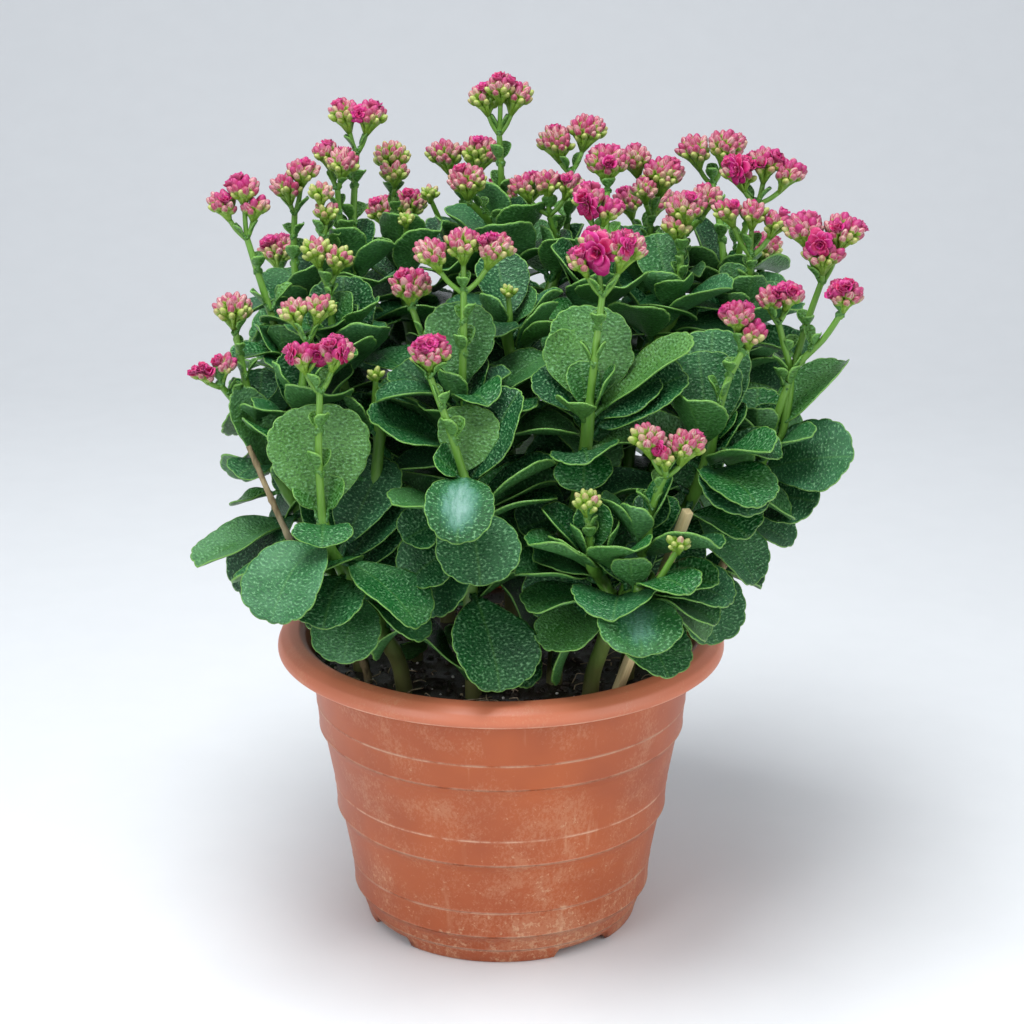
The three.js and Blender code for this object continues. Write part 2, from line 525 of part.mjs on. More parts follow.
// Flower heads: from is [stem, shoot] that bears it, via the points its stalk passes, fork the point
// where the stalk splits, lobes the domes of buds [x, y, z, radius] and blooms the open flowers
// [azimuth, rise, radius] as seen from the middle of the head.
const HEADS = [
  { from: [0, 0], via: [[-88, -101, 290]], fork: [-87, -97, 322], forked: true,
    lobes: [[-96, -95, 339, 8.5], [-79, -94, 341, 9.5]],
    blooms: [[-92, 8, 8.5], [-155, 10, 7], [-30, 12, 7.5]] },
  { from: [1, 0], via: [[-25, -98, 305]], fork: [-34, -91, 328],
    lobes: [[-34, -88, 339, 10.5]], blooms: [[-80, 30, 6.5]] },
  { from: [2, 0], via: [[-18, -61, 345]], fork: [-18, -57, 362], forked: true,
    lobes: [[-34, -56, 381, 9.5], [-18, -53, 385, 10], [-2, -55, 383, 10]], blooms: [] },
  { from: [2, 0], via: [[-38, -46, 334]], fork: [-44, -41, 349],
    lobes: [[-45, -40, 361, 11]], blooms: [] },
  { from: [3, 0], via: [[47, -77, 340]], fork: [50, -72, 364], forked: true,
    lobes: [[47, -66, 388, 9.5], [61, -70, 386, 11], [40, -69, 380, 8]],
    blooms: [[-150, -12, 9.5], [-50, 15, 7.5]] },
  { from: [4, 0], via: [[76, -107, 272]], fork: [80, -110, 284], forked: true,
    lobes: [[71, -110, 302, 9.5], [90, -110, 299, 10], [80, -114, 294, 7]],
    blooms: [[-130, 10, 6.5]] },
  { from: [4, 1], via: [], fork: [43, -114, 262], lobes: [[42, -115, 272, 7.8]], blooms: [] },
  { from: [5, 0], via: [[113, -64, 318]], fork: [120, -61, 332], forked: true,
    lobes: [[117, -60, 351, 9], [124, -61, 342, 9]], blooms: [] },
  { from: [6, 0], via: [[148, -29, 311], [157, -22, 340]], fork: [163, -20, 358], forked: true,
    lobes: [[153, -19, 385, 10.5], [173, -20, 384, 11], [163, -24, 374, 11]],
    blooms: [[-105, -8, 8.5]] },
  { from: [6, 0], via: [[148, -29, 311], [164, -33, 332]], fork: [171, -35, 344],
    lobes: [[173, -35, 355, 9.5]], blooms: [] },
  { from: [6, 0], via: [[148, -29, 311], [143, -33, 330]], fork: [140, -35, 341],
    lobes: [[136, -35, 353, 8.5], [145, -35, 355, 8.5]], blooms: [] },
  { from: [7, 0], via: [[-131, -34, 318]], fork: [-134, -31, 334],
    lobes: [[-135, -30, 346, 10.5]], blooms: [] },
  { from: [7, 0], via: [[-137, -42, 304]], fork: [-141, -46, 311], forked: true,
    lobes: [[-149, -49, 318, 6.8], [-138, -46, 322, 7]], blooms: [] },
  { from: [7, 1], via: [], fork: [-96, -53, 336],
    lobes: [[-102, -50, 350, 8.8], [-90, -50, 352, 8.8]], blooms: [] },
  { from: [8, 1], via: [[-124, 4, 352]], fork: [-131, 8, 375], forked: true,
    lobes: [[-143, 10, 392, 8.5], [-132, 10, 400, 9], [-126, 9, 391, 8]],
    blooms: [] },
  { from: [8, 0], via: [], fork: [-88, -11, 354], forked: true,
    lobes: [[-94, -10, 372, 8.8], [-83, -10, 368, 8.4]], blooms: [] },
  { from: [9, 0], via: [[-110, 45, 360]], fork: [-109, 45, 380],
    lobes: [[-112, 45, 394, 9.5], [-104, 45, 402, 9]], blooms: [] },
  { from: [9, 1], via: [[-79, 66, 380]], fork: [-77, 69, 408],
    lobes: [[-82, 70, 428, 10], [-70, 70, 427, 10]], blooms: [[-80, 15, 6.5]] },
  { from: [9, 1], via: [[-86, 58, 370]], fork: [-87, 57, 391],
    lobes: [[-93, 61, 409, 8], [-84, 54, 405, 9.5]], blooms: [] },
  { from: [9, 1], via: [[-91, 43, 362]], fork: [-93, 31, 370],
    lobes: [[-94, 30, 394, 7.4], [-91, 29, 384, 7]], blooms: [] },
  { from: [10, 0], via: [[-58, 88, 368]], fork: [-59, 92, 380],
    lobes: [[-60, 98, 400, 10.5], [-58, 88, 393, 8.5]], blooms: [] },
  { from: [10, 1], via: [[-21, 116, 365]], fork: [-21, 122, 381],
    lobes: [[-32, 125, 396, 10.5], [-11, 125, 397, 12]], blooms: [] },
  { from: [11, 0], via: [[-9, 72, 372]], fork: [-17, 62, 382],
    lobes: [[-18, 60, 394, 11]], blooms: [] },
  { from: [11, 0], via: [[0, 88, 390]], fork: [-1, 86, 415],
    lobes: [[-9, 86, 434, 9.5], [8, 86, 435, 10], [0, 82, 440, 9]], blooms: [] },
  { from: [11, 1], via: [], fork: [26, 72, 374],
    lobes: [[12, 70, 389, 8.5], [25, 69, 391, 9], [37, 70, 390, 8.3]], blooms: [] },
  { from: [11, 1], via: [[37, 92, 375]], fork: [38, 101, 391],
    lobes: [[30, 104, 407, 11], [47, 105, 413, 11]], blooms: [] },
  { from: [12, 0], via: [[55, 32, 372]], fork: [56, 42, 392], lobes: [[56, 45, 407, 11.5]], blooms: [] },
  { from: [12, 0], via: [[50, 6, 368]], fork: [48, -3, 381],
    lobes: [[45, -4, 398, 8.8], [54, -4, 392, 8.5]], blooms: [[-135, -8, 7]] },
  { from: [13, 0], via: [], fork: [80, 61, 376],
    lobes: [[71, 69, 404, 9.5], [86, 61, 397, 12], [76, 50, 391, 7.6]], blooms: [] },
  { from: [12, 2], via: [], fork: [94, 18, 364],
    lobes: [[96, 20, 388, 11], [91, 17, 379, 8.5]], blooms: [] },
  { from: [13, 1], via: [[119, 82, 365]], fork: [115, 89, 387],
    lobes: [[105, 90, 405, 10.5], [122, 90, 407, 11]], blooms: [] },
  { from: [13, 1], via: [[130, 60, 365]], fork: [136, 52, 384], forked: true,
    lobes: [[126, 50, 401, 10.5], [140, 52, 405, 10.5], [152, 50, 400, 10]],
    blooms: [[-150, 4, 8]] },
  { from: [13, 0], via: [[94, 50, 362]], fork: [105, 42, 377], lobes: [[108, 40, 389, 9]], blooms: [] },
  { from: [13, 2], via: [], fork: [130, 16, 364], forked: true,
    lobes: [[117, 15, 387, 8.3], [130, 15, 386, 8.6], [143, 15, 381, 8.3]], blooms: [] },
  { from: [14, 0], via: [[-60, 133, 325]], fork: [-60, 138, 345],
    lobes: [[-68, 140, 362, 10], [-52, 140, 365, 10.5]], blooms: [[90, 12, 7]] },
  { from: [14, 2], via: [[11, 144, 330]], fork: [10, 149, 352],
    lobes: [[0, 150, 370, 10], [17, 150, 373, 10.5]], blooms: [] },
  { from: [15, 0], via: [[77, 131, 330]], fork: [79, 136, 350],
    lobes: [[72, 138, 367, 10], [88, 138, 368, 10.5]], blooms: [] },
  { from: [15, 1], via: [[139, 99, 312]], fork: [144, 102, 334], lobes: [[145, 102, 348, 11]], blooms: [] },
  { from: [14, 1], via: [[-119, 99, 315]], fork: [-123, 102, 333],
    lobes: [[-124, 102, 347, 11]], blooms: [] },
];

// The square wooden stake at the right and two bare leftovers of older shoots.
const STAKE = { foot: [54, -60, 132], top: [92, -100, 262] };
const RODS = [
  { name: 'dry_stalk', foot: [-70, -46], via: [-104, -82, 239], tip: [-125, -73, 287], radii: [2.2, 1.4] },
  { name: 'woody_stem', foot: [83, -36], via: [108, -46, 200], tip: [125, -46, 240], radii: [2.8, 2.2] },
];

// Tight clusters of green buds, grown as one with the stem that bears them: [stem, shoot, x, y, z, radius].
const GREEN_BUDS = [
  [0, 1, -62, -58, 320, 5], [4, 2, 86, -126, 255, 6.5], [10, 0, -51, 66, 372, 5.5],
  [10, 1, -39, 96, 380, 6], [12, 1, 4, -16, 352, 5],
];

// ---------------------------------------------------------------- growing the stems
// A point at a height straight above a foot [x, y].
const above = (foot, height) => vec(foot[0], foot[1], height);

// A shoot rises straight from the soil, or leaves the main shoot at its fork, and turns up at its top.
function shootCurve(shoot, parent) {
  const apex = toVec(shoot.apex);
  const start = parent ? parent.getPointAt(shoot.fork) : above(shoot.foot, SOIL_TOP + STEM_COLLAR.height);
  const points = parent ? [start] : [start, start.clone().add(vec(0, 0, STEM_COLLAR.upright))];
  const reach = start.distanceTo(apex);
  const middle = start.clone().lerp(apex, 0.5);
  middle.z += STEM_ARCH * reach;
  const below = start.clone().lerp(apex, 0.9);
  below.z = apex.z - STEM_UPTURN * reach;
  points.push(middle, below, apex);
  return curveThrough(points);
}

// The point at a distance below the top of a shoot, on the straight runs between its cross sections.
function pointBelow(sections, distance) {
  let left = distance;
  for (let ring = sections.length - 1; ring > 0; ring -= 1) {
    const [upper, lower] = [sections[ring].centre, sections[ring - 1].centre];
    const run = upper.distanceTo(lower);
    if (left <= run) return upper.clone().lerp(lower, left / run);
    left -= run;
  }
  return sections[0].centre.clone();
}

// Leaves of one shoot, from its top pair down. The small top pair is left off behind FULL_TOP_LINE, where
// flower heads cover it, and lower leaves that would point into the shaded middle have dropped.
function shootLeaves(shoot, sections, stem, order) {
  const reach = toVec(shoot.apex).distanceTo(sections[0].centre);
  const outward = new THREE.Vector2(shoot.apex[0], shoot.apex[1]).sub(PLANT_MIDDLE).normalize();
  const leaves = (shoot.own ?? []).map(([distance, azimuth, rise, droop, length, width]) => (
    { pair: -1, azimuth, rise, droop, roll: 0, length, width, base: pointBelow(sections, distance) }
  ));
  const first = shoot.apex[1] < FULL_TOP_LINE ? 0 : 1;
  for (let pair = first; pair < shoot.pairs; pair += 1) {
    const distance = PAIR_DISTANCE[pair];
    if (distance > reach - LOWEST_PAIR) break;
    const centre = pointBelow(sections, distance);
    for (const half of [0, 1]) {
      const seed = 100 * stem + 10 * order + 2 * pair + half;
      const azimuth = shoot.turn + 90 * pair + 180 * half + PAIR_SPREAD.turn * scatter(seed, 11);
      const way = THREE.MathUtils.degToRad(azimuth);
      const facing = Math.cos(way) * outward.x + Math.sin(way) * outward.y;
      if (pair > 0 && facing < FACING_IN) continue;
      const length = LEAF_LENGTH * PAIR_LENGTH[pair] * (1 + PAIR_SPREAD.length * scatter(seed, 12));
      leaves.push({
        pair,
        azimuth,
        rise: PAIR_RISE[pair] + PAIR_SPREAD.slope * scatter(seed, 13),
        droop: PAIR_DROOP[pair] + PAIR_SPREAD.slope * scatter(seed, 14),
        roll: PAIR_SPREAD.roll * scatter(seed, 15),
        length,
        width: length * WIDTH_SHARE * (1 + PAIR_SPREAD.width * scatter(seed, 16)),
        base: centre,
      });
    }
  }
  return leaves;
}

const headsOf = (stem, order) => HEADS.filter(({ from }) => from[0] === stem && from[1] === order);

const isForked = ({ forked }) => forked === true;

// Where the stalklet of one lobe meets the flat underside of its head.
function seatOf(head, lobe) {
  const { middle, low } = headShape(head.lobes);
  const place = middle.clone().lerp(toVec(lobe), SEAT_SPREAD);
  return vec(place.x, place.y, low - SEAT_GAP);
}

// Points of a head's stalk above the stem, up to its seat under the head.
function stalkPoints(head) {
  const { middle, low } = headShape(head.lobes);
  const seat = isForked(head) ? seatOf(head, head.lobes[0]) : vec(middle.x, middle.y, low - SEAT_GAP);
  return [...head.via.map(toVec), toVec(head.fork), seat];
}

// A further stalk leaves the top of the shoot sideways, then turns up.
function branchStart(apex, towards) {
  const start = apex.clone().sub(vec(0, 0, BRANCH.below));
  const aside = vec(towards.x - apex.x, towards.y - apex.y, 0).normalize().multiplyScalar(BRANCH.aside);
  return [start, start.clone().add(aside).add(vec(0, 0, BRANCH.up))];
}

// The upright section that stands in the hole in the soil.
const buriedSection = (foot, radius) => ({ centre: above(foot, STEM_FOOT), tangent: vec(0, 0, 1), radius });

// A stem runs on into the stalk of the first head that it bears, as one tapered piece.
function branchTo(shoot, path) {
  const points = [...branchStart(toVec(shoot.apex), path[0]), ...path];
  return solidOf(stalkGeometry(sectionsThrough(points, ...PEDUNCLE_RADII), PEDUNCLE_SIDES));
}

const stems = STEMS.map((shoots, stem) => {
  const curves = [];
  const spines = [];
  const solids = [];
  const branches = [];
  shoots.forEach((shoot, order) => {
    const isSide = order > 0;
    const curve = shootCurve(shoot, isSide ? curves[0] : null);
    curves.push(curve);
    const [first, ...others] = headsOf(stem, order);
    const startRadius = isSide ? SIDE_SHOOT_SHARE * STEM_RADIUS : STEM_RADIUS;
    const sections = sectionsAlong(curve, STEM_RINGS[isSide ? 1 : 0], startRadius, APEX_RADIUS);
    spines.push([...sections]);
    if (!isSide) {
      sections[0].tangent = vec(0, 0, 1);
      sections.unshift(buriedSection(shoot.foot, STEM_RADIUS));
    }
    if (first) {
      const onward = sectionsThrough([toVec(shoot.apex), ...stalkPoints(first)], ...PEDUNCLE_RADII);
      sections.push(...onward.slice(1));
    }
    solids.push(solidOf(stalkGeometry(sections, STEM_SIDES)));
    others.forEach((head) => branches.push(branchTo(shoot, stalkPoints(head))));
  });
  return { shoots, spines, solids: [...solids, ...branches] };
});

const heads = HEADS.map((head, index) => {
  const [stem] = head.from;
  if (isForked(head)) {
    head.lobes.slice(1).forEach((lobe) => {
      const seat = seatOf(head, lobe);
      const start = toVec(head.fork);
      start.addScaledVector(start.clone().sub(seat).normalize(), STALKLET_OVERLAP);
      const stalklet = sectionsThrough([start, seat], STALKLET_RADIUS, STALKLET_RADIUS);
      stems[stem].solids.push(solidOf(stalkGeometry(stalklet, STALKLET_SIDES)));
    });
  }
  const blooms = head.blooms.map((bloom) => solidOf(bloomGeometry(bloom, head.lobes)));
  return joined([solidOf(headGeometry(head.lobes, index)), ...blooms]);
});

GREEN_BUDS.forEach(([stem, order, ...lobe], index) => {
  const cluster = solidOf(headGeometry([lobe], HEADS.length + index));
  stems[stem].solids.push(branchTo(STEMS[stem][order], [toVec(lobe)]), cluster);
});

// A bare rod that stands upright in the soil and leans to its tip: a dry stalk or a woody stem.
function makeRod({ foot, via, tip, radii }) {
  const start = above(foot, SOIL_TOP + STEM_COLLAR.height);
  const upright = start.clone().add(vec(0, 0, STEM_COLLAR.upright));
  const sections = sectionsAlong(curveThrough([start, upright, toVec(via), toVec(tip)]), ROD_RINGS, ...radii);
  sections[0].tangent = vec(0, 0, 1);
  sections.unshift(buriedSection(foot, radii[0]));
  return solidOf(stalkGeometry(sections, STEM_SIDES));
}

// The square stake, or the hole that it stands in when it is asked for with some room to spare.
function makeStake(spare) {
  const [low, high] = [toVec(STAKE.foot), toVec(STAKE.top)];
  const side = STAKE_SIDE + 2 * spare;
  const length = low.distanceTo(high) + 2 * spare;
  const stake = new THREE.BoxGeometry(side, side, length);
  const middle = low.clone().lerp(high, 0.5);
  const lean = new THREE.Quaternion().setFromUnitVectors(vec(0, 0, 1), high.clone().sub(low).normalize());
  stake.applyMatrix4(new THREE.Matrix4().compose(middle, lean, vec(1, 1, 1)));
  return solidOf(stake);
}

const holeRadius = (radius) => radius * HOLE_SHARE + SEAT_GAP;
const holes = STEMS.map(([main]) => [...main.foot, holeRadius(STEM_RADIUS)]);
const rods = RODS.map((rod) => ({ name: rod.name, solid: makeRod(rod) }));
RODS.forEach(({ foot, radii }) => holes.push([...foot, holeRadius(radii[0])]));
const stake = makeStake(0);
const pot = makePot();
const soil = makeSoil(holes).subtract(makeStake(SEAT_GAP));

// ---------------------------------------------------------------- placing the leaves
const taken = [];
const boxOf = (solid) => {
  const { min, max } = solid.boundingBox();
  return new THREE.Box3(toVec(min), toVec(max));
};
const take = (node, solid, touch = 0) => taken.push({ node, solid, touch, box: boxOf(solid) });
take('pot', pot);
take('soil', soil);
take('stake', stake);
rods.forEach(({ name, solid }) => take(name, solid));
stems.forEach(({ shoots, solids }, stem) => solids.forEach((solid, index) => (
  take(stem, solid, index < shoots.length ? OWN_STEM_TOUCH : OWN_STALK_TOUCH)
)));
heads.forEach((solid) => take('head', solid));

const isClear = (solid, node) => {
  const box = boxOf(solid);
  return taken.every((other) => {
    if (!other.box.intersectsBox(box)) return true;
    const shared = solid.intersect(other.solid).volume();
    return shared <= (other.node === node ? other.touch : 0);
  });
};

// Large single leaves are placed first, then the pairs from the top down.
const waiting = stems.flatMap(({ shoots, spines }, stem) => (
  shoots.flatMap((shoot, order) => (
    shootLeaves(shoot, spines[order], stem, order).map((leaf) => ({ leaf, stem }))
  ))
));
waiting.sort((a, b) => a.leaf.pair - b.leaf.pair);
for (const { leaf, stem } of waiting) {
  const scallops = 2 + SCALLOP_LENGTHS.filter((length) => leaf.length > length).length;
  const trials = SHIFTS.map((shift) => shifted(leaf, shift));
  const chosen = trials.find((trial) => isClear(solidOf(leafGeometry(trial, scallops, CLEARANCE)), stem));
  if (chosen) {
    const solid = solidOf(leafGeometry(chosen, scallops));
    stems[stem].solids.push(solid);
    take(stem, solid, OWN_LEAF_TOUCH);
  }
}

// ---------------------------------------------------------------- the finished group
const finish = (color, roughness) => new THREE.MeshStandardMaterial({ color, roughness, metalness: 0 });
const terracotta = finish(0xb85f3c, 0.62);
const peat = finish(0x2e2219, 0.95);
const paleWood = finish(0xc9a878, 0.75);
const dryBark = finish(0x8a6a4c, 0.85);
const leafGreen = finish(0x3d7538, 0.42);
const budPink = finish(0xd64f8f, 0.5);

const plant = new THREE.Group();
function addPiece(name, solid, material) {
  const mesh = new THREE.Mesh(geometryOf(solid), material);
  mesh.name = name;
  plant.add(mesh);
}
const numbered = (name, index) => `${name}_${String(index + 1).padStart(2, '0')}`;

addPiece('pot', pot, terracotta);
addPiece('soil', soil, peat);
addPiece('stake', stake, paleWood);
rods.forEach(({ name, solid }) => addPiece(name, solid, dryBark));
stems.forEach(({ solids }, stem) => addPiece(numbered('leafy_stem', stem), joined(solids), leafGreen));
heads.forEach((solid, index) => addPiece(numbered('flower_head', index), solid, budPink));

const footprint = new THREE.Box3().setFromObject(plant).getCenter(vec(0, 0, 0));
plant.position.set(-footprint.x, -footprint.y, 0);
const kalanchoe = new THREE.Group();
kalanchoe.add(plant);

export default kalanchoe;
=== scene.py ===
# %% [markdown]
# # A flowering kalanchoe in a terracotta-coloured pot
# The real object is a nursery pot of thin moulded plastic, filled with peat, with a bushy succulent in
# it. Sixteen leafy stems grow out of the soil. Each carries crossed pairs of thick scalloped leaves and
# ends in flower stalks with dense heads of pink buds and a few open double flowers.
#
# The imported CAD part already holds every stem, leaf and head at its real size and place, as plain
# faceted solids. It is loaded as a fixed frame, and each step below dresses one kind of piece: it builds
# a finer mesh where the solid is, and gives it a material made of nodes.

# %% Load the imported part
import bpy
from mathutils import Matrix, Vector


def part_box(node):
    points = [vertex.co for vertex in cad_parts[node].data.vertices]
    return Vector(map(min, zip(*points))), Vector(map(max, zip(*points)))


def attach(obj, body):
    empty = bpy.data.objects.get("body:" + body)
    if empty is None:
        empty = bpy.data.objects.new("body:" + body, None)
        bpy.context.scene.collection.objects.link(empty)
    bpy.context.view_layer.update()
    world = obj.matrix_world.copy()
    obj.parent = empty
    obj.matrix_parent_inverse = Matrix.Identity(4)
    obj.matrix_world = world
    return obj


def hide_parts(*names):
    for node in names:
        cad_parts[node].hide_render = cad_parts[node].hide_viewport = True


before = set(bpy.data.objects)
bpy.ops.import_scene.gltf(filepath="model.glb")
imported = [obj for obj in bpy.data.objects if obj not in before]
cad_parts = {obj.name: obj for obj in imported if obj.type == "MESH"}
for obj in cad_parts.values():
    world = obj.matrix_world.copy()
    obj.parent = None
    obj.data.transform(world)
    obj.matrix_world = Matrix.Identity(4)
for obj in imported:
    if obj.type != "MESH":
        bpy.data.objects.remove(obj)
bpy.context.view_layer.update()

# %% Tools for this scene
import math

import bmesh
import bpy
import numpy as np
from mathutils import Matrix, Vector, noise
from mathutils.bvhtree import BVHTree

# %% [markdown]
# ## Where things are
# The plant is laid out in millimetres round the pot's axis, with the front towards -Y, and the whole
# group was then moved so that the middle of its footprint is the origin. The pot is the one round piece,
# so its box gives the axis back, and one matrix carries finished meshes from the layout to the frame.

# %% From the plant's millimetres to the frame
MILLIMETRE = 0.001
pot_low, pot_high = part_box("pot")
pot_axis = Vector(((pot_low.x + pot_high.x) / 2, (pot_low.y + pot_high.y) / 2, 0))
TO_FRAME = Matrix.Translation(pot_axis) @ Matrix.Scale(MILLIMETRE, 4)
RIM_RADIUS = (pot_high.x - pot_low.x) / 2 / MILLIMETRE
RIM_TOP = pot_high.z / MILLIMETRE
print("pot axis", list(pot_axis), "rim radius in mm", RIM_RADIUS, "rim top", RIM_TOP)


def cad_points(node):
    """The corners of a CAD node, in the plant's millimetres."""
    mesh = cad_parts[node].data
    places = np.empty(len(mesh.vertices) * 3)
    mesh.vertices.foreach_get("co", places)
    return (places.reshape(-1, 3) - np.array(pot_axis)) / MILLIMETRE


# %% [markdown]
# ## Camera, light and floor
# The photograph was taken from a little above the flowers with a short telephoto lens, so the pot is
# seen slightly from above and its sides hardly converge. The light is soft daylight from above and the
# front with a bluish sheen on the upper leaves, so a large lamp hangs over the plant, two fill the
# sides and a pale world fills the shadows. The floor is plain, and curves up into a plain backdrop.

# %% Camera
CAMERA_PLACE = Vector((5.9, -1288.6, 659.7))
CAMERA_TILT = 71.476
LENS = 90
SENSOR_WIDTH = 36
camera_data = bpy.data.cameras.new("camera")
camera_data.lens = LENS
camera_data.sensor_width = SENSOR_WIDTH
camera = bpy.data.objects.new("camera", camera_data)
camera.location = TO_FRAME @ CAMERA_PLACE
camera.rotation_euler = (math.radians(CAMERA_TILT), 0, 0)
bpy.context.scene.collection.objects.link(camera)
bpy.context.scene.camera = camera
bpy.context.scene.view_settings.view_transform = "Standard"


# %% Node helpers
def shader_node(look, kind, inputs=(), output=0, **settings):
    """Adds one shader node, sets or links its sockets, and returns one of its outputs."""
    made = look.node_tree.nodes.new("ShaderNode" + kind)
    for name, value in settings.items():
        setattr(made, name, value)
    for socket, value in dict(inputs).items():
        if isinstance(value, bpy.types.NodeSocket):
            look.node_tree.links.new(value, made.inputs[socket])
        else:
            made.inputs[socket].default_value = value
    return made.outputs[output]


def blend(look, share, first, second, kind="MIX"):
    """A colour between two, each a socket or a plain (red, green, blue)."""
    sides = [(*side, 1) if isinstance(side, tuple) else side for side in (first, second)]
    sockets = {0: share, 6: sides[0], 7: sides[1]}
    return shader_node(look, "Mix", sockets, 2, data_type="RGBA", blend_type=kind)


def between(look, value, low, high, top=1.0):
    """0 where value is at low, and top where it is at high."""
    return shader_node(look, "MapRange", {0: value, 1: low, 2: high, 4: top})


def maths(look, operation, first, second=0.0):
    """One sum, product or other operation on two numbers."""
    return shader_node(look, "Math", {0: first, 1: second}, operation=operation)


def plus(look, first, second):
    """The sum of two numbers."""
    return maths(look, "ADD", first, second)


def minus(look, first, second):
    """The first number less the second."""
    return maths(look, "SUBTRACT", first, second)


def times(look, first, second):
    """The product of two numbers."""
    return maths(look, "MULTIPLY", first, second)


# %% Patterns and where they are read
def speckle(look, place, scale, detail=2.0, roughness=0.5):
    """Noise: a larger scale gives smaller spots, and more detail gives rougher edges."""
    sockets = {"Vector": place, "Scale": scale, "Detail": detail, "Roughness": roughness}
    return shader_node(look, "TexNoise", sockets)


def stretched(look, place, scale):
    """The same place, scaled. A pattern on it is drawn out in a direction with a small scale."""
    return shader_node(look, "Mapping", {"Vector": place, "Scale": scale})


def flat_map(look):
    """The piece's own flat map, for patterns that follow its surface."""
    return shader_node(look, "UVMap", uv_map="UVMap")


def body_place(look):
    """The place on the object in metres, for patterns that run through it."""
    return shader_node(look, "TexCoord", output="Object")


def painted(look, name):
    """A number that is stored on the mesh's points under this name."""
    return shader_node(look, "Attribute", output="Fac", attribute_name=name)


# %% Materials
def new_look(name, **sockets):
    """A material with a Principled shader. sockets are values that hold all over it, such as Roughness."""
    look = bpy.data.materials.new(name)
    look.use_nodes = True
    shader = look.node_tree.nodes["Principled BSDF"]
    for socket, value in sockets.items():
        shader.inputs[socket.replace("_", " ")].default_value = value
    return look


def finish_look(look, color, roughness=None, height=None, relief=1.0):
    """Joins a colour, a roughness and a height to the surface. relief is in millimetres."""
    shader = look.node_tree.nodes["Principled BSDF"]
    look.node_tree.links.new(color, shader.inputs["Base Color"])
    if roughness is not None:
        look.node_tree.links.new(roughness, shader.inputs["Roughness"])
    if height is not None:
        sockets = {"Height": height, "Strength": 1.0, "Distance": relief * MILLIMETRE}
        bump = shader_node(look, "Bump", sockets)
        look.node_tree.links.new(bump, shader.inputs["Normal"])
    print(look.name, "has", len(look.node_tree.nodes), "nodes")
    return look


# %% Soft studio light
def soft_lamp(name, place, aim, size, power, color=(1, 1, 1)):
    """A square lamp that points at aim. A larger one gives softer shadows."""
    lamp_data = bpy.data.lights.new(name, "AREA")
    lamp_data.size = size
    lamp_data.energy = power
    lamp_data.color = color
    lamp = bpy.data.objects.new(name, lamp_data)
    lamp.location = place
    lamp.rotation_euler = (Vector(aim) - Vector(place)).to_track_quat("-Z", "Y").to_euler()
    bpy.context.scene.collection.objects.link(lamp)


PLANT_MIDDLE_HEIGHT = 0.26
aim = (0, 0, PLANT_MIDDLE_HEIGHT)
soft_lamp("overhead", (-0.2, -0.3, 1.5), aim, 0.8, 22, (0.95, 0.98, 1))
soft_lamp("front_left", (-1.2, -1.4, 0.9), aim, 0.9, 12, (0.97, 0.99, 1))
soft_lamp("front_right", (1.4, -0.9, 0.7), aim, 1.2, 10, (1, 0.99, 0.97))

# %% Pale sky
world = bpy.data.worlds.new("daylight")
world.use_nodes = True
world.node_tree.nodes["Background"].inputs["Color"].default_value = (0.87, 0.92, 1, 1)
world.node_tree.nodes["Background"].inputs["Strength"].default_value = 0.52
bpy.context.scene.world = world

# %% Floor and backdrop
FLOOR_HALF_WIDTH = 4
BACKDROP_DISTANCE = 2.2
BACKDROP_HEIGHT = 3
BACKDROP_CURVE = 1.2
BACKDROP_CURVE_FACES = 16


def backdrop():
    """A sheet that lies under the pot and bends up behind it, from a grid rolled at its far edge."""
    sheet = bmesh.new()
    bmesh.ops.create_grid(sheet, x_segments=1, y_segments=1, size=FLOOR_HALF_WIDTH)
    far = [edge for edge in sheet.edges if all(vert.co.y > 0 for vert in edge.verts)]
    for vert in far[0].verts:
        vert.co.y = BACKDROP_DISTANCE
    pulled = bmesh.ops.extrude_edge_only(sheet, edges=far)["geom"]
    raised = [part for part in pulled if isinstance(part, bmesh.types.BMVert)]
    bmesh.ops.translate(sheet, verts=raised, vec=(0, 0, BACKDROP_HEIGHT))
    fold = [edge for edge in sheet.edges if all(abs(vert.co.y - BACKDROP_DISTANCE) < 1e-6 and
                                                abs(vert.co.z) < 1e-6 for vert in edge.verts)]
    bmesh.ops.bevel(sheet, geom=fold, affect="EDGES", offset=BACKDROP_CURVE,
                    segments=BACKDROP_CURVE_FACES, profile=0.5, material=-1)
    mesh = bpy.data.meshes.new("backdrop")
    sheet.to_mesh(mesh)
    sheet.free()
    mesh.shade_smooth()
    return bpy.data.objects.new("backdrop", mesh)


# %% Lay out the paper
PAPER_DARK = (0.74, 0.75, 0.76)
PAPER_PALE = (0.77, 0.78, 0.79)
paper = new_look("plain_paper", Roughness=0.85)
paper_grain = speckle(paper, body_place(paper), 30.0)
finish_look(paper, blend(paper, paper_grain, PAPER_DARK, PAPER_PALE))
floor = backdrop()
floor.data.materials.append(paper)
bpy.context.scene.collection.objects.link(floor)
print("backdrop faces", len(floor.data.polygons))


# %% [markdown]
# ## Finishing a piece
# Every piece is modelled as a bmesh in the plant's millimetres. This last step is the same for all: the
# mesh goes to the frame, gets its materials, rides on the part's one body, and replaces its CAD node.

# %% Finish a piece
def finish_piece(shape, name, looks, node=None):
    """Turns a bmesh into a finished object, which stands for the CAD node where one is named."""
    bmesh.ops.transform(shape, matrix=TO_FRAME, verts=shape.verts)
    mesh = bpy.data.meshes.new(name)
    shape.to_mesh(mesh)
    shape.free()
    for look in looks:
        mesh.materials.append(look)
    mesh.shade_smooth()
    piece = bpy.data.objects.new(name, mesh)
    bpy.context.scene.collection.objects.link(piece)
    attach(piece, "root")
    if node:
        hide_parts(node)
    print(name, "has", len(mesh.polygons), "faces")
    return piece


